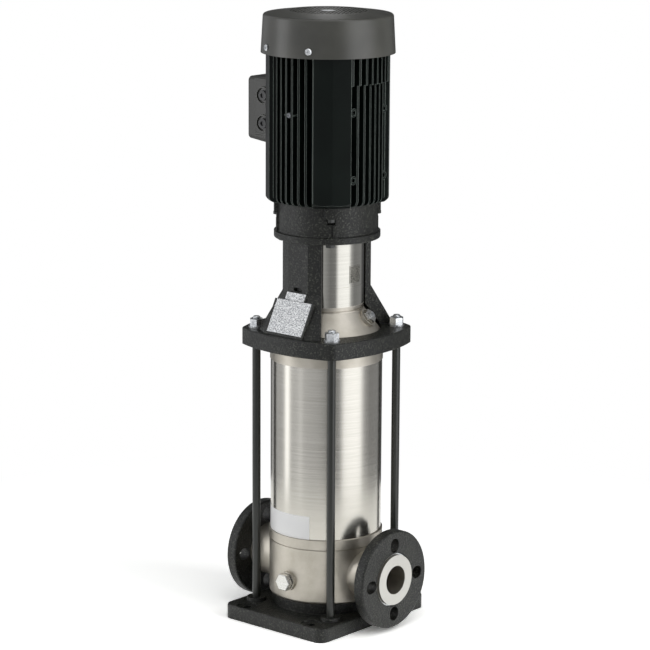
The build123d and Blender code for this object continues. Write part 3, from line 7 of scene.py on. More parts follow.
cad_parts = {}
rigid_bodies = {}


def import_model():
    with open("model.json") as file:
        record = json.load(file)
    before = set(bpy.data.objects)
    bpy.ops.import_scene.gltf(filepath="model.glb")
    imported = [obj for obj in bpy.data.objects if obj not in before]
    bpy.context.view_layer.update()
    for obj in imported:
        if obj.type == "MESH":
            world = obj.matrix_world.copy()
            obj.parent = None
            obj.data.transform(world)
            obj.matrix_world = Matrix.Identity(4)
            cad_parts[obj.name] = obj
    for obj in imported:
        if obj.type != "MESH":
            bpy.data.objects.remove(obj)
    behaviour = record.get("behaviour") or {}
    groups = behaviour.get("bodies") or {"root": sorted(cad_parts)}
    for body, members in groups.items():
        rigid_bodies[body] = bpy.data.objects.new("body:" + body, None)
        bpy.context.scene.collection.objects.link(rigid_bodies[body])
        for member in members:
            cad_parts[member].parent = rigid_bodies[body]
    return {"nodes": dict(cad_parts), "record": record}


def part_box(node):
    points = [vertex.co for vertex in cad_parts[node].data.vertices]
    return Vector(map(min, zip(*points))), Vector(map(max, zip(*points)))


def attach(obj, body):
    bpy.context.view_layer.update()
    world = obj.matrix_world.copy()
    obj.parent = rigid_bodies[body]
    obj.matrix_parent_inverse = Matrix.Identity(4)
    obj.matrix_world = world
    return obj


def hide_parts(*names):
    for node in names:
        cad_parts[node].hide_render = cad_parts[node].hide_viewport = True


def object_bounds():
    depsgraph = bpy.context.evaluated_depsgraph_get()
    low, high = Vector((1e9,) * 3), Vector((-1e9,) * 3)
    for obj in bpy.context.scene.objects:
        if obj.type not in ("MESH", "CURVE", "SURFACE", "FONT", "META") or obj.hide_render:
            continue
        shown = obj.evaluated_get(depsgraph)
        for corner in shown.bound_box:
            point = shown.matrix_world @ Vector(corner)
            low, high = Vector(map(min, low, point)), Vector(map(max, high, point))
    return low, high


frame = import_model()
cadBox = [list(corner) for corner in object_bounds()]
print("frame loaded:", len(frame["nodes"]), "nodes")

mm = 0.001


def linear(hexColour):  # sRGB hex to the linear values that shaders want
    channels = [int(hexColour[i:i + 2], 16) / 255 for i in (1, 3, 5)]
    return [c / 12.92 if c <= 0.04045 else ((c + 0.055) / 1.055) ** 2.4 for c in channels] + [1.0]


def addNode(tree, kind, inputs=None, **settings):
    node = tree.nodes.new(kind)
    for name, value in settings.items():
        setattr(node, name, value)
    for name, value in (inputs or {}).items():
        several = isinstance(value, tuple) and isinstance(value[0], bpy.types.NodeSocket)
        for item in value if several else [value]:
            if isinstance(item, bpy.types.NodeSocket):
                tree.links.new(item, node.inputs[name])
            else:
                node.inputs[name].default_value = item
    return node


def mathNode(tree, operation, first, second=0.0):
    return addNode(tree, "ShaderNodeMath", {0: first, 1: second}, operation=operation).outputs[0]


# finishes: each from the real material and how its surface was made

cloudBand = (0.35, 0.65)      # the middle of a noise's 0 to 1, where most of its values lie
grainBand = (0.3, 0.7)


def newFinish(name, base, roughness, metallic=0.0, **sockets):
    finish = bpy.data.materials.new(name)
    finish.use_nodes = True
    tree = finish.node_tree
    shader = tree.nodes["Principled BSDF"]
    shader.inputs["Base Color"].default_value = linear(base)
    shader.inputs["Roughness"].default_value = roughness
    shader.inputs["Metallic"].default_value = metallic
    for socket, value in sockets.items():
        shader.inputs[socket].default_value = value
    return finish, tree, shader


def patternAt(tree, sizeMm, stretch=(1, 1, 1)):  # one unit of the pattern is sizeMm across
    place = addNode(tree, "ShaderNodeTexCoord").outputs["Object"]
    scale = [1 / (sizeMm * mm * s) for s in stretch]
    return addNode(tree, "ShaderNodeMapping", {"Vector": place, "Scale": scale}).outputs["Vector"]


def noiseAt(tree, sizeMm, detail=2.0, rough=0.5, stretch=(1, 1, 1)):
    at = patternAt(tree, sizeMm, stretch)
    return addNode(tree, "ShaderNodeTexNoise",
                   {"Vector": at, "Scale": 1.0, "Detail": detail, "Roughness": rough}).outputs["Fac"]


def ramp(tree, value, low, high, toLow, toHigh):
    return addNode(tree, "ShaderNodeMapRange", {"Value": value, "From Min": low, "From Max": high,
                                                "To Min": toLow, "To Max": toHigh}).outputs["Result"]


def mixColour(tree, factor, dark, light):
    node = addNode(tree, "ShaderNodeMix", {0: factor}, data_type="RGBA")
    for index, colour in ((6, dark), (7, light)):
        if isinstance(colour, bpy.types.NodeSocket):
            tree.links.new(colour, node.inputs[index])
        else:
            node.inputs[index].default_value = linear(colour)
    return node.outputs[2]


def softNormal(tree, edgeMm):  # the surface's direction, with its corners rounded by edgeMm
    return addNode(tree, "ShaderNodeBevel", {"Radius": edgeMm * mm}, samples=6).outputs[0]


def bump(tree, height, depthMm, strength=1.0, edgeMm=0.0):
    inputs = {"Height": height, "Distance": depthMm * mm, "Strength": strength}
    if edgeMm:
        inputs["Normal"] = softNormal(tree, edgeMm)
    return addNode(tree, "ShaderNodeBump", inputs).outputs["Normal"]


# dip-coated grey iron: the sand's grain shows through a thin satin film; where it would catch the light as
# sparks, a light colour is painted in as painted highlights
def castPaint(name, dark, light, sparkHighlight, grainMm, depthMm, roughness, cloudMm=30, edgeMm=1.2,
              sparkHighlightBand=(0.55, 0.66)):
    finish, tree, shader = newFinish(name, light, roughness, **{"Specular IOR Level": 0.34})
    grain = noiseAt(tree, grainMm, detail=3.0, rough=0.65)
    cloud = noiseAt(tree, cloudMm, detail=3.0)
    tint = mixColour(tree, ramp(tree, cloud, *cloudBand, 0, 1), dark, light)
    # painted highlight: the highest grain is given the light spark colour, standing in for glints of light
    paintedSparks = mixColour(tree, ramp(tree, grain, *sparkHighlightBand, 0, 1), tint, sparkHighlight)
    matt = ramp(tree, grain, *grainBand, roughness + 0.12, roughness - 0.1)
    tree.links.new(paintedSparks, shader.inputs["Base Color"])
    tree.links.new(matt, shader.inputs["Roughness"])
    tree.links.new(bump(tree, grain, depthMm, edgeMm=edgeMm), shader.inputs["Normal"])
    return finish


# sprayed enamel: orange peel a few millimetres across under an even gloss, with painted highlights along
# its corners when an edge colour is given
def smoothPaint(name, dark, light, roughness, peelMm=2.5, depthMm=0.02, edgeMm=0.0, edgeHighlightColour="",
                cloudMm=60, edgeHighlightBand=(0.985, 0.86), **sockets):
    finish, tree, shader = newFinish(name, light, roughness, **sockets)
    cloud = noiseAt(tree, cloudMm)
    tint = mixColour(tree, ramp(tree, cloud, *cloudBand, 0, 1), dark, light)
    if edgeHighlightColour:  # painted highlight: sharp corners, where the rounded and true directions part, are coloured lighter as if they caught the light
        hard = addNode(tree, "ShaderNodeNewGeometry").outputs["Normal"]
        along = addNode(tree, "ShaderNodeVectorMath", {0: softNormal(tree, edgeMm), 1: hard},
                        operation="DOT_PRODUCT").outputs["Value"]
        tint = mixColour(tree, ramp(tree, along, *edgeHighlightBand, 0, 1), tint, edgeHighlightColour)
    tree.links.new(tint, shader.inputs["Base Color"])
    peel = bump(tree, noiseAt(tree, peelMm), depthMm, strength=0.6, edgeMm=edgeMm)
    tree.links.new(peel, shader.inputs["Normal"])
    return finish


# glass-bead blasted stainless casting: an even, fine matt grain
def blastedSteel(name, dark, light, roughness, grainMm=1.6, depthMm=0.05, facedPastMm=0.0, faced="",
                 cloudMm=26):
    finish, tree, shader = newFinish(name, light, roughness, metallic=1.0)
    cloud = noiseAt(tree, cloudMm, detail=3.0, rough=0.55)
    tint = mixColour(tree, ramp(tree, cloud, *grainBand, 0, 1), dark, light)
    grain = noiseAt(tree, grainMm)
    matt = ramp(tree, grain, *grainBand, roughness - 0.05, roughness + 0.07)
    if faced:  # the ends of the necks are turned bright after blasting
        place = addNode(tree, "ShaderNodeTexCoord").outputs["Object"]
        along = addNode(tree, "ShaderNodeSeparateXYZ", {0: place}).outputs["X"]
        turned = mathNode(tree, "GREATER_THAN", mathNode(tree, "ABSOLUTE", along), facedPastMm * mm)
        tint = mixColour(tree, turned, tint, faced)
        matt = addNode(tree, "ShaderNodeMix", {0: turned, 2: matt, 3: roughness - 0.08}).outputs[0]
    tree.links.new(tint, shader.inputs["Base Color"])
    tree.links.new(matt, shader.inputs["Roughness"])
    tree.links.new(bump(tree, grain, depthMm, strength=0.5), shader.inputs["Normal"])
    return finish


# stainless brushed round its length: fine rings, drawn coarser than the real 0.1 mm so that they show
def brushedSteel(name, dark, light, roughness, lineMm=1.6, depthMm=0.0012, stretch=(60, 60, 1)):
    finish, tree, shader = newFinish(name, light, roughness, metallic=1.0)
    rings = noiseAt(tree, lineMm, detail=3.0, rough=0.6, stretch=stretch)
    tint = mixColour(tree, ramp(tree, rings, *grainBand, 0, 1), dark, light)
    matt = ramp(tree, rings, *grainBand, roughness - 0.03, roughness + 0.04)
    tree.links.new(tint, shader.inputs["Base Color"])
    tree.links.new(matt, shader.inputs["Roughness"])
    tree.links.new(bump(tree, rings, depthMm, strength=0.4), shader.inputs["Normal"])
    return finish


# bright zinc plating: a soft mottle of crystals
def zincPlate(name, dark, light, roughness, cellMm=2.2):
    finish, tree, shader = newFinish(name, light, roughness, metallic=1.0)
    at = patternAt(tree, cellMm)
    cells = addNode(tree, "ShaderNodeTexVoronoi", {"Vector": at, "Scale": 1.0}).outputs["Color"]
    patch = addNode(tree, "ShaderNodeSeparateColor", {"Color": cells}).outputs[0]
    matt = ramp(tree, patch, 0, 1, roughness - 0.06, roughness + 0.08)
    tree.links.new(mixColour(tree, patch, dark, light), shader.inputs["Base Color"])
    tree.links.new(matt, shader.inputs["Roughness"])
    frost = bump(tree, noiseAt(tree, cellMm / 2), depthMm=0.02, strength=0.5)
    tree.links.new(frost, shader.inputs["Normal"])
    return finish


# etched and anodised aluminium: a coarse bright and dark sparkle
def etchedPlate(name, dark, light, roughness, grainMm=1.7, metallic=0.6, sparkleBand=(0.42, 0.58)):
    finish, tree, shader = newFinish(name, light, roughness, metallic)
    grain = noiseAt(tree, grainMm, detail=3.0, rough=0.7)
    tint = mixColour(tree, ramp(tree, grain, *sparkleBand, 0, 1), dark, light)
    tree.links.new(tint, shader.inputs["Base Color"])
    tree.links.new(bump(tree, grain, depthMm=0.05, strength=0.6), shader.inputs["Normal"])
    return finish


# injection-moulded glass-filled polyamide: a faint spark-eroded grain
def mouldedPlastic(name, colour, roughness, grainMm=0.8, cloudMm=20):
    finish, tree, shader = newFinish(name, colour, roughness)
    matt = ramp(tree, noiseAt(tree, cloudMm), *grainBand, roughness - 0.05, roughness + 0.05)
    grain = bump(tree, noiseAt(tree, grainMm), depthMm=0.02, strength=0.5)
    tree.links.new(grain, shader.inputs["Normal"])
    tree.links.new(matt, shader.inputs["Roughness"])
    return finish


finishes = {  # by the slots of the record, and the scene's own by names such as boxPaint
    # the third colour is the painted highlight of the grain's sparks
    "cast_iron_paint": castPaint("dipPaintedGreyIron", "#0b0c0a", "#131410", "#4a4c45", grainMm=2.6,
                                 depthMm=0.9, roughness=0.34),
    "stainless_casting": blastedSteel("beadBlastedStainless", "#a7a297", "#b8b3a9", roughness=0.42),
    "facedCasting": blastedSteel("beadBlastedAndFacedStainless", "#a7a297", "#b8b3a9", roughness=0.42,
                                 facedPastMm=139.6, faced="#bfbeb9"),
    "turnedStainless": brushedSteel("turnedStainless", "#c3c2bd", "#d3d2ce", roughness=0.26),
    # the box's corners get a painted highlight colour
    "boxPaint": smoothPaint("powderCoatedBox", "#242420", "#2c2c28", roughness=0.36, peelMm=1.4,
                            depthMm=0.05, edgeMm=0.8, edgeHighlightColour="#55564f"),
    "stainless_sleeve": brushedSteel("brushedStainlessTube", "#bab7ae", "#c4c1b9", roughness=0.20,
                                     depthMm=0.0008),
    "guard_sheet": brushedSteel("brightRolledSheet", "#b6b4ac", "#bfbdb5", roughness=0.12, lineMm=3.0,
                                depthMm=0.0004),
    "zinc_steel": zincPlate("zincPlatedSteel", "#b4b7b9", "#dcdedf", roughness=0.34),
    "rod_steel": smoothPaint("blackEnamelledBar", "#191b17", "#20221d", roughness=0.30, peelMm=6.0),
    "shaft_steel": brushedSteel("turnedShaftSteel", "#9a9a98", "#b6b6b4", roughness=0.22),
    # the motor's fin tips and corners get a painted highlight colour
    "motor_paint": smoothPaint("sprayedMotorEnamel", "#040907", "#080f0c", roughness=0.30, edgeMm=1.2,
                               edgeHighlightColour="#78827c", **{"Specular IOR Level": 0.16}),
    "cover_paint": smoothPaint("powderCoatedSheet", "#373733", "#42423d", roughness=0.34, peelMm=1.4,
                               depthMm=0.03),
    "plate_metal": etchedPlate("anodisedPlate", "#66686b", "#d2d3d3", roughness=0.45, grainMm=1.5),
    "patternedSheet": etchedPlate("patternedSheet", "#34342f", "#84827a", roughness=0.4),
    "dulledZinc": zincPlate("dulledZinc", "#55575a", "#6f7174", roughness=0.5),
    "label_film": smoothPaint("matPolyesterFilm", "#ececec", "#f2f2f1", roughness=0.30, peelMm=9.0,
                              depthMm=0.01),
    "rubber_seal": mouldedPlastic("nitrileRubber", "#17181a", roughness=0.6),
    "seal_carbide": mouldedPlastic("lappedCarbide", "#3a3a3d", roughness=0.25),
    "winding_copper": brushedSteel("varnishedCopper", "#8a3f1c", "#b5622f", roughness=0.35, lineMm=1.0,
                                   depthMm=0.05),
    "core_lamination": brushedSteel("stackedLaminations", "#6c6e70", "#85878a", roughness=0.45,
                                    lineMm=0.8, depthMm=0.03),
    "fan_plastic": mouldedPlastic("glassFilledPolyamide", "#1c1d1e", roughness=0.5),
    "block_plastic": mouldedPlastic("phenolicBlock", "#2a2420", roughness=0.45),
}

finishOf = {part["node"]: part["material_slot"] for part in frame["record"]["subparts"]}
finishOf.update({  # the slot's own metal or paint, worked in another way
    "pump_base": "facedCasting",
    "drain_plug": "turnedStainless",
    "vent_plug": "turnedStainless",
    "terminal_box": "boxPaint",
    "terminal_lid": "boxPaint",
})
for nodeName, nodeObject in frame["nodes"].items():
    for piece in [nodeObject] + list(nodeObject.children_recursive):
        if piece.type == "MESH":
            for slotHolder in piece.material_slots:
                slotHolder.material = finishes[finishOf[nodeName]]
print("finishes assigned to", len(frame["nodes"]), "nodes")


# pieces

def newGrowth(name, sizes):  # a geometry tree with named inputs, which ends in one finished mesh
    tree = bpy.data.node_groups.new(name, "GeometryNodeTree")
    sockets = tree.interface
    sockets.new_socket("Seed", in_out="INPUT", socket_type="NodeSocketGeometry")
    for label, kind in list(sizes.items()) + [("Finish", "Material")]:
        sockets.new_socket(label, in_out="INPUT", socket_type="NodeSocket" + kind)
    sockets.new_socket("Result", in_out="OUTPUT", socket_type="NodeSocketGeometry")
    return tree, tree.nodes.new("NodeGroupInput").outputs


def endGrowth(tree, shape, finish):
    real = addNode(tree, "GeometryNodeRealizeInstances", {"Geometry": shape}).outputs[0]
    painted = addNode(tree, "GeometryNodeSetMaterial", {"Geometry": real, "Material": finish}).outputs[0]
    addNode(tree, "NodeGroupOutput", {"Result": painted})


def raised(tree, mesh, height):
    lift = addNode(tree, "ShaderNodeCombineXYZ", {"Z": height}).outputs[0]
    return addNode(tree, "GeometryNodeTransform", {"Geometry": mesh, "Translation": lift}).outputs[0]


def growMesh(tree, seed, values):
    holder = bpy.data.objects.new(tree.name, seed)
    bpy.context.scene.collection.objects.link(holder)
    modifier = holder.modifiers.new(tree.name, "NODES")
    modifier.node_group = tree
    for item in tree.interface.items_tree:
        if item.in_out == "INPUT" and item.name in values:
            modifier[item.identifier] = values[item.name]
    bpy.context.view_layer.update()
    grown = holder.evaluated_get(bpy.context.evaluated_depsgraph_get())
    mesh = bpy.data.meshes.new_from_object(grown)
    holder.modifiers.clear()
    bpy.data.objects.remove(holder)
    return mesh


def addPiece(name, meshes, slot, body, *nodes, finish=None, creaseAngle=32):
    form = bmesh.new()
    for mesh in meshes:
        form.from_mesh(mesh)
    merged = bpy.data.meshes.new(name)
    form.to_mesh(merged)
    form.free()
    merged.materials.clear()
    merged.materials.append(finishes[finish or slot])
    for face in merged.polygons:
        face.material_index = 0
        face.use_smooth = True
    merged.set_sharp_from_angle(angle=math.radians(creaseAngle))
    piece = bpy.data.objects.new(name, merged)
    bpy.context.scene.collection.objects.link(piece)
    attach(piece, body)
    if nodes:
        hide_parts(*nodes)


# a closed outline of radius and height, turned about Z
def lathe(profile, segments, start=0.0, sweep=360.0):
    form = bmesh.new()
    whole = sweep >= 360
    rings = []
    for step in range(segments if whole else segments + 1):
        turn = math.radians(start + sweep * step / segments)
        ring = [(r * mm * math.cos(turn), r * mm * math.sin(turn), z * mm) for r, z in profile]
        rings.append([form.verts.new(place) for place in ring])
    count = len(profile)
    for step in range(segments):
        here, there = rings[step], rings[(step + 1) % len(rings)]
        for i in range(count):
            form.faces.new((here[i], there[i], there[(i + 1) % count], here[(i + 1) % count]))
    if not whole:
        form.faces.new(rings[0])
        form.faces.new(rings[-1])
    bmesh.ops.remove_doubles(form, verts=form.verts, dist=1e-6)
    bmesh.ops.recalc_face_normals(form, faces=form.faces)
    mesh = bpy.data.meshes.new("turned")
    form.to_mesh(mesh)
    form.free()
    return mesh


def seedPoints(places, aims, turns):
    mesh = bpy.data.meshes.new("seeds")
    mesh.from_pydata([[c * mm for c in place] for place in places], [], [])
    aim = mesh.attributes.new("aim", "FLOAT_VECTOR", "POINT")
    aim.data.foreach_set("vector", [c for direction in aims for c in direction])
    turn = mesh.attributes.new("turn", "FLOAT", "POINT")
    turn.data.foreach_set("value", [math.radians(t) for t in turns])
    return mesh


def readSeeds(tree, name, kind):
    return addNode(tree, "GeometryNodeInputNamedAttribute", {"Name": name}, data_type=kind).outputs[0]


def standOnSeeds(tree, seeds, shape):  # copies stand on the points, Z along "aim", after a "turn" about it
    aim = readSeeds(tree, "aim", "FLOAT_VECTOR")
    turn = readSeeds(tree, "turn", "FLOAT")
    spun = addNode(tree, "FunctionNodeAxisAngleToRotation", {"Axis": (0, 0, 1), "Angle": turn}).outputs[0]
    aimed = addNode(tree, "FunctionNodeAlignRotationToVector", {"Rotation": spun, "Vector": aim},
                    axis="Z").outputs[0]
    return addNode(tree, "GeometryNodeInstanceOnPoints",
                   {"Points": seeds, "Instance": shape, "Rotation": aimed}).outputs[0]


fastener = {
    "coneSides": 48,
    "coneBelow": 0.1,         # how far the chamfer's cone reaches below the seat, over the height
    "shankSides": 24,
    "roundSides": 32,         # of a round head and of a nut's bore
    "hexSides": 6,
    "nutSlope": 1.73,         # outward run over drop: a chamfer of 30 degrees
    "headSlope": 0.9,
}


# a nut or a screw's head: the blank meets a cone for its chamfer, then a socket or a bore goes in
def makeFastenerTree():
    tree, given = newGrowth("fastener", {
        "Sides": "Int", "Corner radius": "Float", "Height": "Float",
        "Crown radius": "Float", "Crown slope": "Float",
        "Socket sides": "Int", "Socket radius": "Float", "Socket depth": "Float",
        "Shank radius": "Float", "Shank length": "Float"})
    height = given["Height"]
    half = mathNode(tree, "MULTIPLY", height, 0.5)
    blank = addNode(tree, "GeometryNodeMeshCylinder", {
        "Vertices": given["Sides"], "Radius": given["Corner radius"], "Depth": height}).outputs["Mesh"]
    below = fastener["coneBelow"]
    spread = mathNode(tree, "MULTIPLY", mathNode(tree, "MULTIPLY", height, given["Crown slope"]), 1 + below)
    cone = addNode(tree, "GeometryNodeMeshCone", {
        "Vertices": fastener["coneSides"], "Radius Top": given["Crown radius"],
        "Radius Bottom": mathNode(tree, "ADD", given["Crown radius"], spread),
        "Depth": mathNode(tree, "MULTIPLY", height, 1 + below)}).outputs["Mesh"]
    dropped = raised(tree, cone, mathNode(tree, "MULTIPLY", height, -below))
    head = addNode(tree, "GeometryNodeMeshBoolean", {"Mesh 2": (raised(tree, blank, half), dropped)},
                   operation="INTERSECT", solver="EXACT").outputs["Mesh"]
    socket = addNode(tree, "GeometryNodeMeshCylinder", {
        "Vertices": given["Socket sides"], "Radius": given["Socket radius"],
        "Depth": mathNode(tree, "MULTIPLY", given["Socket depth"], 2.0)}).outputs["Mesh"]
    cut = addNode(tree, "GeometryNodeMeshBoolean", {"Mesh 1": head, "Mesh 2": raised(tree, socket, height)},
                  operation="DIFFERENCE", solver="EXACT").outputs["Mesh"]
    shank = addNode(tree, "GeometryNodeMeshCylinder", {
        "Vertices": fastener["shankSides"], "Radius": given["Shank radius"],
        "Depth": given["Shank length"]}).outputs["Mesh"]
    under = raised(tree, shank, mathNode(tree, "MULTIPLY", given["Shank length"], -0.5))
    whole = addNode(tree, "GeometryNodeJoinGeometry", {"Geometry": (cut, under)}).outputs[0]
    endGrowth(tree, standOnSeeds(tree, given["Seed"], whole), given["Finish"])
    return tree


thread = {
    "sides": 32,
    "stepsPerTurn": 24,
    "ridgeShare": 0.45,       # of the pitch
}


# a screwed bar end: a core, a cone for its lead and a three-sided ridge wound round the core
def makeThreadTree():
    tree, given = newGrowth("threadedEnd", {
        "Radius": "Float", "Pitch": "Float", "Length": "Float", "Lead": "Float"})
    ridgeReach = mathNode(tree, "MULTIPLY", given["Pitch"], thread["ridgeShare"])
    core = mathNode(tree, "SUBTRACT", given["Radius"], ridgeReach)
    bar = addNode(tree, "GeometryNodeMeshCylinder", {
        "Vertices": thread["sides"], "Radius": core, "Depth": given["Length"]}).outputs["Mesh"]
    lead = addNode(tree, "GeometryNodeMeshCone", {
        "Vertices": thread["sides"], "Radius Bottom": core,
        "Radius Top": mathNode(tree, "SUBTRACT", core, given["Lead"]),
        "Depth": given["Lead"]}).outputs["Mesh"]
    turns = mathNode(tree, "DIVIDE", given["Length"], given["Pitch"])
    path = addNode(tree, "GeometryNodeCurveSpiral", {
        "Resolution": thread["stepsPerTurn"], "Rotations": turns, "Start Radius": core, "End Radius": core,
        "Height": given["Length"]}).outputs["Curve"]
    profile = addNode(tree, "GeometryNodeCurvePrimitiveCircle", {
        "Resolution": 3, "Radius": ridgeReach}).outputs["Curve"]
    ridge = addNode(tree, "GeometryNodeCurveToMesh", {
        "Curve": path, "Profile Curve": profile, "Fill Caps": True}).outputs["Mesh"]
    middle = mathNode(tree, "MULTIPLY", given["Length"], 0.5)
    whole = addNode(tree, "GeometryNodeJoinGeometry", {
        "Geometry": (raised(tree, bar, middle), raised(tree, lead, given["Length"]), ridge)}).outputs[0]
    endGrowth(tree, standOnSeeds(tree, given["Seed"], whole), given["Finish"])
    return tree


# a punched sheet: one ring-shaped cell is laid on a close-packed lattice, merged and given its thickness
def makePunchedTree():
    tree, given = newGrowth("punchedSheet", {
        "Pitch": "Float", "Count": "Int", "Inner limit": "Float", "Outer limit": "Float",
        "Thickness": "Float", "Level": "Float"})
    weld = 2e-5  # m, far below the gap between two holes
    rowStep = mathNode(tree, "MULTIPLY", given["Pitch"], math.sqrt(0.75))
    gaps = mathNode(tree, "SUBTRACT", given["Count"], 1.0)
    grid = addNode(tree, "GeometryNodeMeshGrid", {
        "Vertices X": given["Count"], "Vertices Y": given["Count"],
        "Size X": mathNode(tree, "MULTIPLY", gaps, given["Pitch"]),
        "Size Y": mathNode(tree, "MULTIPLY", gaps, rowStep)}).outputs["Mesh"]
    place = addNode(tree, "GeometryNodeInputPosition").outputs[0]
    along = addNode(tree, "ShaderNodeSeparateXYZ", {0: place}).outputs["Y"]
    row = mathNode(tree, "ROUND", mathNode(tree, "DIVIDE", along, rowStep))
    odd = mathNode(tree, "FLOORED_MODULO", row, 2.0)
    shift = addNode(tree, "ShaderNodeCombineXYZ", {
        "X": mathNode(tree, "MULTIPLY", mathNode(tree, "MULTIPLY", odd, given["Pitch"]), 0.5),
        "Z": given["Level"]}).outputs[0]
    staggered = addNode(tree, "GeometryNodeSetPosition", {"Geometry": grid, "Offset": shift}).outputs[0]
    flat = addNode(tree, "ShaderNodeVectorMath", {0: place, 1: (1, 1, 0)}, operation="MULTIPLY").outputs[0]
    reach = addNode(tree, "ShaderNodeVectorMath", {0: flat}, operation="LENGTH").outputs["Value"]
    outside = mathNode(tree, "MAXIMUM", mathNode(tree, "GREATER_THAN", reach, given["Outer limit"]),
                       mathNode(tree, "LESS_THAN", reach, given["Inner limit"]))
    kept = addNode(tree, "GeometryNodeDeleteGeometry", {"Geometry": staggered, "Selection": outside},
                   domain="POINT").outputs[0]
    laid = addNode(tree, "GeometryNodeInstanceOnPoints",
                   {"Points": kept, "Instance": given["Seed"]}).outputs[0]
    real = addNode(tree, "GeometryNodeRealizeInstances", {"Geometry": laid}).outputs[0]
    skin = addNode(tree, "GeometryNodeMergeByDistance", {"Geometry": real, "Distance": weld}).outputs[0]
    downward = mathNode(tree, "MULTIPLY", given["Thickness"], -1.0)
    deep = addNode(tree, "GeometryNodeExtrudeMesh",
                   {"Mesh": skin, "Offset Scale": downward, "Individual": False},
                   mode="FACES").outputs["Mesh"]
    under = addNode(tree, "GeometryNodeFlipFaces", {"Mesh": deep}).outputs[0]
    both = addNode(tree, "GeometryNodeJoinGeometry", {"Geometry": (skin, under)}).outputs[0]
    shut = addNode(tree, "GeometryNodeMergeByDistance", {"Geometry": both, "Distance": weld}).outputs[0]
    endGrowth(tree, shut, given["Finish"])
    return tree


def inMetres(sizes):  # counts are whole numbers and stay as they are, and so does the slope
    return {name: value if isinstance(value, int) or name == "Crown slope" else value * mm
            for name, value in sizes.items()}


def boxMm(node):
    return [[c / mm for c in corner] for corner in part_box(node)]


fastenerTree = makeFastenerTree()

fanCover = {
    "segments": 168,
    "discSegments": 72,
    "wall": 2.0,              # mm
    "topRadius": 97.0,
    "edgeRound": 4.0,
    "edgeStep": 15,           # degrees
    "grilleRadius": 57.5,
    "rimFlat": 62.0,
    "pitch": 6.4,
    "holeRadius": 2.65,
    "holeCorners": 12,
    "latticeCount": 23,       # points in a row: odd, so that the lattice is centred
    "innerMargin": 0.25,      # how far a cell's middle may pass the hub's and the grille's edge, in pitches
    "outerMargin": 0.6,
    "sheetDrop": 0.5,
    "sheetThickness": 0.7,
    "hubRadius": 12.0,
    "hubDrop": 0.2,
    "hubBevel": 1.0,
    "capRadius": 11.0,
    "capCurve": ((0, 0), (0.6, 0.02), (0.9, 0.08), (1, 0.25)),  # share of its radius, mm below the crown
}


def makeFanCover():
    lowest, highest = boxMm("fan_cover")
    foot, crown, rim = lowest[2], highest[2], highest[0]
    wall, curve, edge = fanCover["wall"], fanCover["edgeRound"], fanCover["topRadius"]
    tilts = [math.radians(a) for a in range(0, 91, fanCover["edgeStep"])]

    def skin(inset):  # from the grille outward over the bend and down to the foot
        level = crown - inset
        flat = [(fanCover["grilleRadius"], level), (fanCover["rimFlat"], level)]
        bend = [(edge - inset - curve * (1 - math.sin(a)), level - curve * (2 - math.cos(a)))
                for a in tilts]
        return flat + bend + [(rim - inset, foot)]

    shell = lathe(skin(0) + skin(wall)[::-1], fanCover["segments"])
    pitch, hole, count = fanCover["pitch"], fanCover["holeRadius"], fanCover["holeCorners"]
    turns = [math.radians(360 / count * i) for i in range(count)]
    inner = [(hole * math.cos(t), hole * math.sin(t)) for t in turns]
    reaches = [pitch / 2, pitch / math.sqrt(3)] * (count // 2)  # a hexagon's side middles and corners
    outer = [(reach * math.cos(t), reach * math.sin(t)) for reach, t in zip(reaches, turns)]
    cell = bpy.data.meshes.new("punchedCell")
    cell.from_pydata([(x * mm, y * mm, 0) for x, y in outer + inner], [],
                     [(i, (i + 1) % count, count + (i + 1) % count, count + i) for i in range(count)])
    drop, hub = fanCover["sheetDrop"], fanCover["hubRadius"]
    sheet = growMesh(makePunchedTree(), cell, inMetres({
        "Pitch": pitch, "Count": fanCover["latticeCount"],
        "Inner limit": hub - pitch * fanCover["innerMargin"],
        "Outer limit": fanCover["grilleRadius"] + pitch * fanCover["outerMargin"],
        "Thickness": fanCover["sheetThickness"], "Level": crown - drop}))
    top, skirt = crown - fanCover["hubDrop"], hub + fanCover["hubBevel"]
    disc = lathe([(0, top), (hub, top), (skirt, crown - drop), (skirt, crown - wall), (0, crown - wall)],
                 fanCover["discSegments"])
    addPiece("fanCoverDressed", [shell, sheet, disc], "cover_paint", "casing", "fan_cover")
    dome = [(fanCover["capRadius"] * share, crown - below) for share, below in fanCover["capCurve"]]
    cap = lathe(dome + [(0, dome[-1][1])], fanCover["discSegments"])
    addPiece("coverHubCap", [cap], "zinc_steel", "casing")


staybolt = {
    "across": 19.0,           # mm over the flats
    "crownShare": 0.97,
    "bore": 6.3,              # radius
    "turns": (12, 41, 25, 3),  # degrees, as they happened to be tightened
    "shankShare": 0.8,        # a short core under each nut, over the rod's radius
    "shankLength": 2.0,
    "rodRadius": 6.25,
    "rodSegments": 40,
    "threadBelow": 6.0,       # under the nuts' seats
    "threadTurns": (0, 90, 200, 310),
    "pitch": 1.75,
    "lead": 1.0,
}


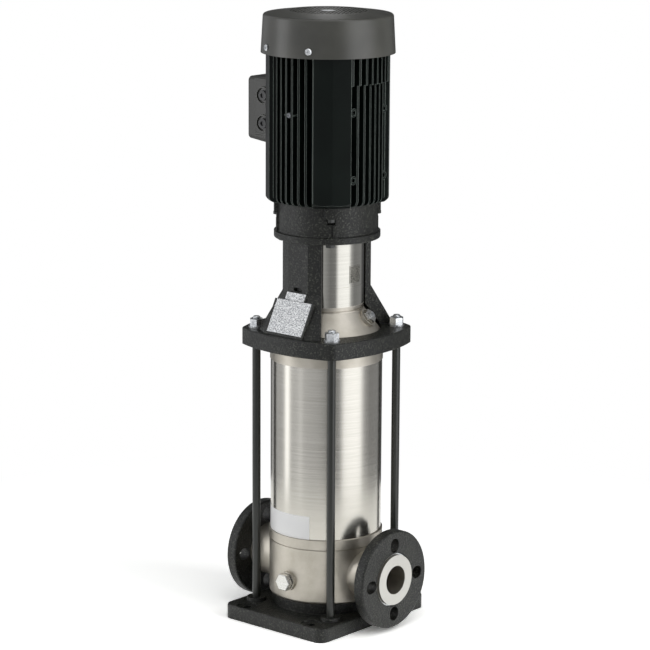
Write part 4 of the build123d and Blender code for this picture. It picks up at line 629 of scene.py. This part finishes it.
def makeStaybolts():
    across, radius, lead = staybolt["across"], staybolt["rodRadius"], staybolt["lead"]
    upward = [(0, 0, 1)] * 4
    lowest, highest = boxMm("staybolt_nuts")
    right, back = highest[0] - across / math.sqrt(3), highest[1] - across / 2
    spots = [(x, y) for x in (-right, right) for y in (-back, back)]
    seeds = seedPoints([(x, y, lowest[2]) for x, y in spots], upward, staybolt["turns"])
    height = highest[2] - lowest[2]
    nuts = growMesh(fastenerTree, seeds, inMetres({
        "Sides": fastener["hexSides"], "Corner radius": across / math.sqrt(3), "Height": height,
        "Crown radius": across / 2 * staybolt["crownShare"], "Crown slope": fastener["nutSlope"],
        "Socket sides": fastener["roundSides"], "Socket radius": staybolt["bore"],
        "Socket depth": height + 1,  # right through
        "Shank radius": radius * staybolt["shankShare"], "Shank length": staybolt["shankLength"]}))
    addPiece("staybolt_nuts_dressed", [nuts], "zinc_steel", "casing", "staybolt_nuts")
    rodLow, rodHigh = boxMm("staybolts")
    joint = lowest[2] - staybolt["threadBelow"]
    outline = [(0, rodLow[2]), (radius, rodLow[2]), (radius, joint), (0, joint)]
    bars = []
    for x, y in spots:
        bar = lathe(outline, staybolt["rodSegments"])
        bar.transform(Matrix.Translation((x * mm, y * mm, 0)))
        bars.append(bar)
    addPiece("tieRods", bars, "rod_steel", "casing", "staybolts")
    tops = seedPoints([(x, y, joint) for x, y in spots], upward, staybolt["threadTurns"])
    ends = growMesh(makeThreadTree(), tops, inMetres({
        "Radius": radius, "Pitch": staybolt["pitch"], "Length": rodHigh[2] - joint - lead, "Lead": lead}))
    addPiece("tieRodEnds", [ends], "zinc_steel", "casing")


def growHeads(seeds, sizes, shankLength):  # round heads with a hexagon socket each, in mm
    head = sizes["headRadius"]
    return growMesh(fastenerTree, seeds, inMetres({
        "Sides": fastener["roundSides"], "Corner radius": head, "Height": sizes["headHeight"],
        "Crown radius": head * sizes["crownShare"], "Crown slope": fastener["headSlope"],
        "Socket sides": fastener["hexSides"], "Socket radius": head * sizes["socketShare"],
        "Socket depth": sizes["socketDepth"],
        "Shank radius": sizes["shankRadius"], "Shank length": shankLength}))


coverScrews = {
    "sideTurn": 24.0,         # degrees either side of the front and of the back
    "seat": 99.69,            # mm from the axis
    "headRadius": 5.0,
    "headHeight": 2.5,
    "crownShare": 0.78,
    "socketShare": 0.42,
    "socketDepth": 1.4,
    "shankRadius": 2.5,
    "shankLength": 12.0,
    "turns": (10, 35, 50, 5),  # degrees
}


def makeCoverScrews():
    lowest, highest = boxMm("cover_screws")
    level = (lowest[2] + highest[2]) / 2
    side, seat = coverScrews["sideTurn"], coverScrews["seat"]
    places = [math.radians(face + turn) for face in (-90, 90) for turn in (-side, side)]
    aims = [(math.cos(t), math.sin(t), 0) for t in places]
    seeds = seedPoints([(x * seat, y * seat, level) for x, y, _ in aims], aims, coverScrews["turns"])
    screws = growHeads(seeds, coverScrews, coverScrews["shankLength"])
    addPiece("cover_screws_dressed", [screws], "zinc_steel", "casing", "cover_screws")


lidScrews = {
    "headRadius": 4.5,        # mm
    "headHeight": 3.2,
    "crownShare": 0.78,
    "socketShare": 0.42,
    "socketDepth": 1.6,
    "shankRadius": 2.5,
    "turns": (0, 20, 45, 70),  # degrees
}


def makeLidScrews():
    head = lidScrews["headRadius"]
    lowest, highest = boxMm("lid_screws")
    across, levels = highest[1] - head, (lowest[2] + head, highest[2] - head)
    seat = lowest[0] + lidScrews["headHeight"]
    spots = [(seat, y, z) for y in (-across, across) for z in levels]
    seeds = seedPoints(spots, [(-1, 0, 0)] * 4, lidScrews["turns"])
    screws = growHeads(seeds, lidScrews, highest[0] - seat)
    addPiece("lid_screws_dressed", [screws], "zinc_steel", "casing", "lid_screws")


guardDress = {
    "panelAngle": 10.4,       # degrees either side of the middle
    "panelSegments": 24,
    "panelThickness": 0.15,   # mm
    "panelRoot": 0.3,         # how deep it stands in the sheet
    "panelMargin": 1.0,
    "panelLift": 35.0,
    "panelHeight": 26.8,
}


def makeGuardPanels():  # the patterned square that is rolled into each guard sheet
    turn = guardDress["panelAngle"]
    for name, node, facing in (("guardPanelRight", "coupling_guard_right", 0),
                               ("guardPanelLeft", "coupling_guard_left", 180)):
        lowest, highest = boxMm(node)
        sheet = max(abs(lowest[0]), abs(highest[0]))
        foot = lowest[2] + guardDress["panelLift"] + guardDress["panelMargin"]
        head = foot + guardDress["panelHeight"] - 2 * guardDress["panelMargin"]
        root, face = sheet - guardDress["panelRoot"], sheet + guardDress["panelThickness"]
        outline = [(root, foot), (face, foot), (face, head), (root, head)]
        panel = lathe(outline, guardDress["panelSegments"], facing - turn, 2 * turn)
        addPiece(name, [panel], "guard_sheet", "casing", finish="patternedSheet")


earthScrew = {
    "lift": 135.0,            # mm above the housing's foot
    "face": 86.5,             # mm from the axis
    "turns": (20,),           # degrees
    "headRadius": 3.9,
    "headHeight": 2.2,
    "crownShare": 0.8,
    "socketShare": 0.4,
    "socketDepth": 1.2,
    "shankRadius": 1.95,
    "shankLength": 8.0,
}


def makeEarthScrew():
    level = boxMm("motor_housing")[0][2] + earthScrew["lift"]
    seeds = seedPoints([(0, -earthScrew["face"], level)], [(0, -1, 0)], earthScrew["turns"])
    screw = growHeads(seeds, earthScrew, earthScrew["shankLength"])
    addPiece("earthScrew", [screw], "zinc_steel", "casing", finish="dulledZinc")


makeFanCover()
print("fan cover made")
makeStaybolts()
makeCoverScrews()
makeLidScrews()
print("rods, nuts and screws made")
makeGuardPanels()
makeEarthScrew()
print("guard panels and earth screw made")


# studio

studio = {
    "floorHalf": 6.0,            # m
    "floorColour": "#f0f0ee",
    "floorSeen": 1.95,           # how bright the paper looks when seen directly, over its colour
    "shadowNear": 0.42,          # m from the shaft: the paper's own shading ends between these
    "shadowFar": 0.95,
    "skyColour": "#f4f5f7",
    "skyStrength": 0.42,
    "cardColour": "#fbfcff",
    "tentRadius": 0.8,           # m, seen only in reflections
    "tentFoot": 0.002,
    "tentHeight": 3.2,
}

# name, degrees from the camera, m from the shaft, m above the floor, m wide, m tall, W
softboxes = (
    ("keySoftbox", 57, 2.0, 0.9, 0.9, 1.9, 26.0),
    ("rimSoftbox", -82, 1.8, 0.8, 0.16, 1.6, 9.0),
    ("topSoftbox", 10, 0.9, 2.4, 1.3, 1.3, 12.0),
)

# grey cards round the set: degrees from the camera, then brightness, which blends from one to the next
tentLevels = (
    (-178, 0.08), (-152, 0.10), (-140, 0.6), (-100, 0.62), (-92, 0.8), (-87, 2.2), (-81, 2.2),
    (-75, 0.62), (-58, 0.84), (-51, 1.1), (-45, 0.74), (-14, 0.6), (10, 0.28), (26, 0.34),
    (36, 1.7), (70, 1.8), (80, 0.6), (92, 0.32), (126, 0.36), (140, 0.10), (178, 0.08),
)

mainView = {
    "azimuth": 40.75,            # degrees, 0 looks along +Y
    "tilt": 12.30,               # degrees below the horizon
    "roll": 0.31,
    "distance": 4.0662,          # m from the shaft's axis
    "aside": -0.0025,
    "height": 1.3395,
    "lens": 152.57,              # mm
    "sensor": 36.0,
    "nearest": 0.05,             # m
    "farthest": 50.0,
}


def onCircle(azimuth, radius, height):
    turn = math.radians(azimuth)
    return Vector((math.sin(turn) * radius, -math.cos(turn) * radius, height))


def seenDirectly(tree):  # 1 for what the eye, a mirror or a pane sees, 0 for light on its way
    rays = addNode(tree, "ShaderNodeLightPath").outputs
    either = mathNode(tree, "MAXIMUM", rays["Is Camera Ray"], rays["Is Glossy Ray"])
    return mathNode(tree, "MAXIMUM", either, rays["Is Transmission Ray"])


def blankFinish(name):
    finish = bpy.data.materials.new(name)
    finish.use_nodes = True
    finish.node_tree.nodes.clear()
    return finish, finish.node_tree


def addStageMesh(name, vertices, faces, finish):
    mesh = bpy.data.meshes.new(name)
    mesh.from_pydata(vertices, [], faces)
    mesh.materials.append(finish)
    thing = bpy.data.objects.new(name, mesh)
    bpy.context.scene.collection.objects.link(thing)
    return thing


def makeFloor():
    half = studio["floorHalf"]
    finish, tree = blankFinish("seamlessPaper")
    seen = seenDirectly(tree)
    paper = linear(studio["floorColour"])
    bright = [c * studio["floorSeen"] for c in paper[:3]] + [1.0]
    colour = addNode(tree, "ShaderNodeMix", {0: seen, 6: paper, 7: bright}, data_type="RGBA").outputs[2]
    matt = addNode(tree, "ShaderNodeBsdfDiffuse", {"Color": colour}).outputs[0]
    white = addNode(tree, "ShaderNodeEmission", {"Color": (1, 1, 1, 1), "Strength": 1.0}).outputs[0]
    place = addNode(tree, "ShaderNodeTexCoord").outputs["Object"]
    away = addNode(tree, "ShaderNodeVectorMath", {0: place}, operation="LENGTH").outputs["Value"]
    fade = ramp(tree, away, studio["shadowNear"], studio["shadowFar"], 0, 1)
    blend = mathNode(tree, "MULTIPLY", fade, seen)
    mixed = addNode(tree, "ShaderNodeMixShader", {0: blend, 1: matt, 2: white}).outputs[0]
    addNode(tree, "ShaderNodeOutputMaterial", {"Surface": mixed})
    corners = [(-half, -half, 0), (half, -half, 0), (half, half, 0), (-half, half, 0)]
    addStageMesh("studioFloor", corners, [(0, 1, 2, 3)], finish)


def makeWorld():
    world = bpy.data.worlds.new("studioWorld")
    bpy.context.scene.world = world
    world.use_nodes = True
    tree = world.node_tree
    tree.nodes.clear()
    soft = addNode(tree, "ShaderNodeBackground",
                   {"Color": linear(studio["skyColour"]), "Strength": studio["skyStrength"]}).outputs[0]
    white = addNode(tree, "ShaderNodeBackground", {"Color": (1, 1, 1, 1), "Strength": 1.0}).outputs[0]
    mixed = addNode(tree, "ShaderNodeMixShader", {0: seenDirectly(tree), 1: soft, 2: white}).outputs[0]
    addNode(tree, "ShaderNodeOutputWorld", {"Surface": mixed})


def makeTent(cameraAzimuth):  # grey cards that only reflections see, so that bright metal has edges to show
    finish, tree = blankFinish("greyCard")
    level = addNode(tree, "ShaderNodeAttribute", attribute_name="level").outputs["Fac"]
    colour = linear(studio["cardColour"])
    glow = addNode(tree, "ShaderNodeEmission", {"Color": colour, "Strength": level}).outputs[0]
    addNode(tree, "ShaderNodeOutputMaterial", {"Surface": glow})
    vertices = [tuple(onCircle(cameraAzimuth + turn, studio["tentRadius"], height))
                for turn, _ in tentLevels for height in (studio["tentFoot"], studio["tentHeight"])]
    faces = [(2 * i, 2 * i + 2, 2 * i + 3, 2 * i + 1) for i in range(len(tentLevels) - 1)]
    tent = addStageMesh("reflectionTent", vertices, faces, finish)
    levels = tent.data.attributes.new("level", "FLOAT", "POINT")
    levels.data.foreach_set("value", [value for _, value in tentLevels for _ in range(2)])
    for sight in ("camera", "diffuse", "shadow", "transmission"):
        setattr(tent, "visible_" + sight, False)


def addSoftbox(name, azimuth, radius, height, aim, width, tall, power):
    data = bpy.data.lights.new(name, "AREA")
    data.shape = "RECTANGLE"
    data.size, data.size_y = width, tall
    data.energy = power
    lamp = bpy.data.objects.new(name, data)
    bpy.context.scene.collection.objects.link(lamp)
    lamp.location = onCircle(azimuth, radius, height)
    lamp.rotation_mode = "QUATERNION"
    lamp.rotation_quaternion = (aim - lamp.location).to_track_quat("-Z", "Y")


def addCamera(view):
    data = bpy.data.cameras.new("studioCamera")
    data.sensor_width, data.lens = view["sensor"], view["lens"]
    data.clip_start, data.clip_end = view["nearest"], view["farthest"]
    camera = bpy.data.objects.new("studioCamera", data)
    bpy.context.scene.collection.objects.link(camera)
    turn, tilt, roll = (math.radians(view[k]) for k in ("azimuth", "tilt", "roll"))
    right = Vector((math.cos(turn), math.sin(turn), 0))
    ahead = Vector((-math.sin(turn), math.cos(turn), 0))
    look = ahead * math.cos(tilt) - Vector((0, 0, math.sin(tilt)))
    up = right.cross(look)
    across = right * math.cos(roll) + up * math.sin(roll)
    upward = up * math.cos(roll) - right * math.sin(roll)
    place = right * view["aside"] - ahead * view["distance"] + Vector((0, 0, view["height"]))
    axes = Matrix((across, upward, -look)).transposed().to_4x4()
    camera.matrix_world = Matrix.Translation(place) @ axes
    bpy.context.scene.camera = camera


low, high = (Vector(corner) for corner in cadBox)
centre = (low + high) / 2
makeFloor()
makeWorld()
makeTent(mainView["azimuth"])
for name, turn, radius, height, width, tall, power in softboxes:
    addSoftbox(name, mainView["azimuth"] + turn, radius, height, centre, width, tall, power)
addCamera(mainView)
bpy.context.scene.view_settings.view_transform = "Standard"
print("studio ready")
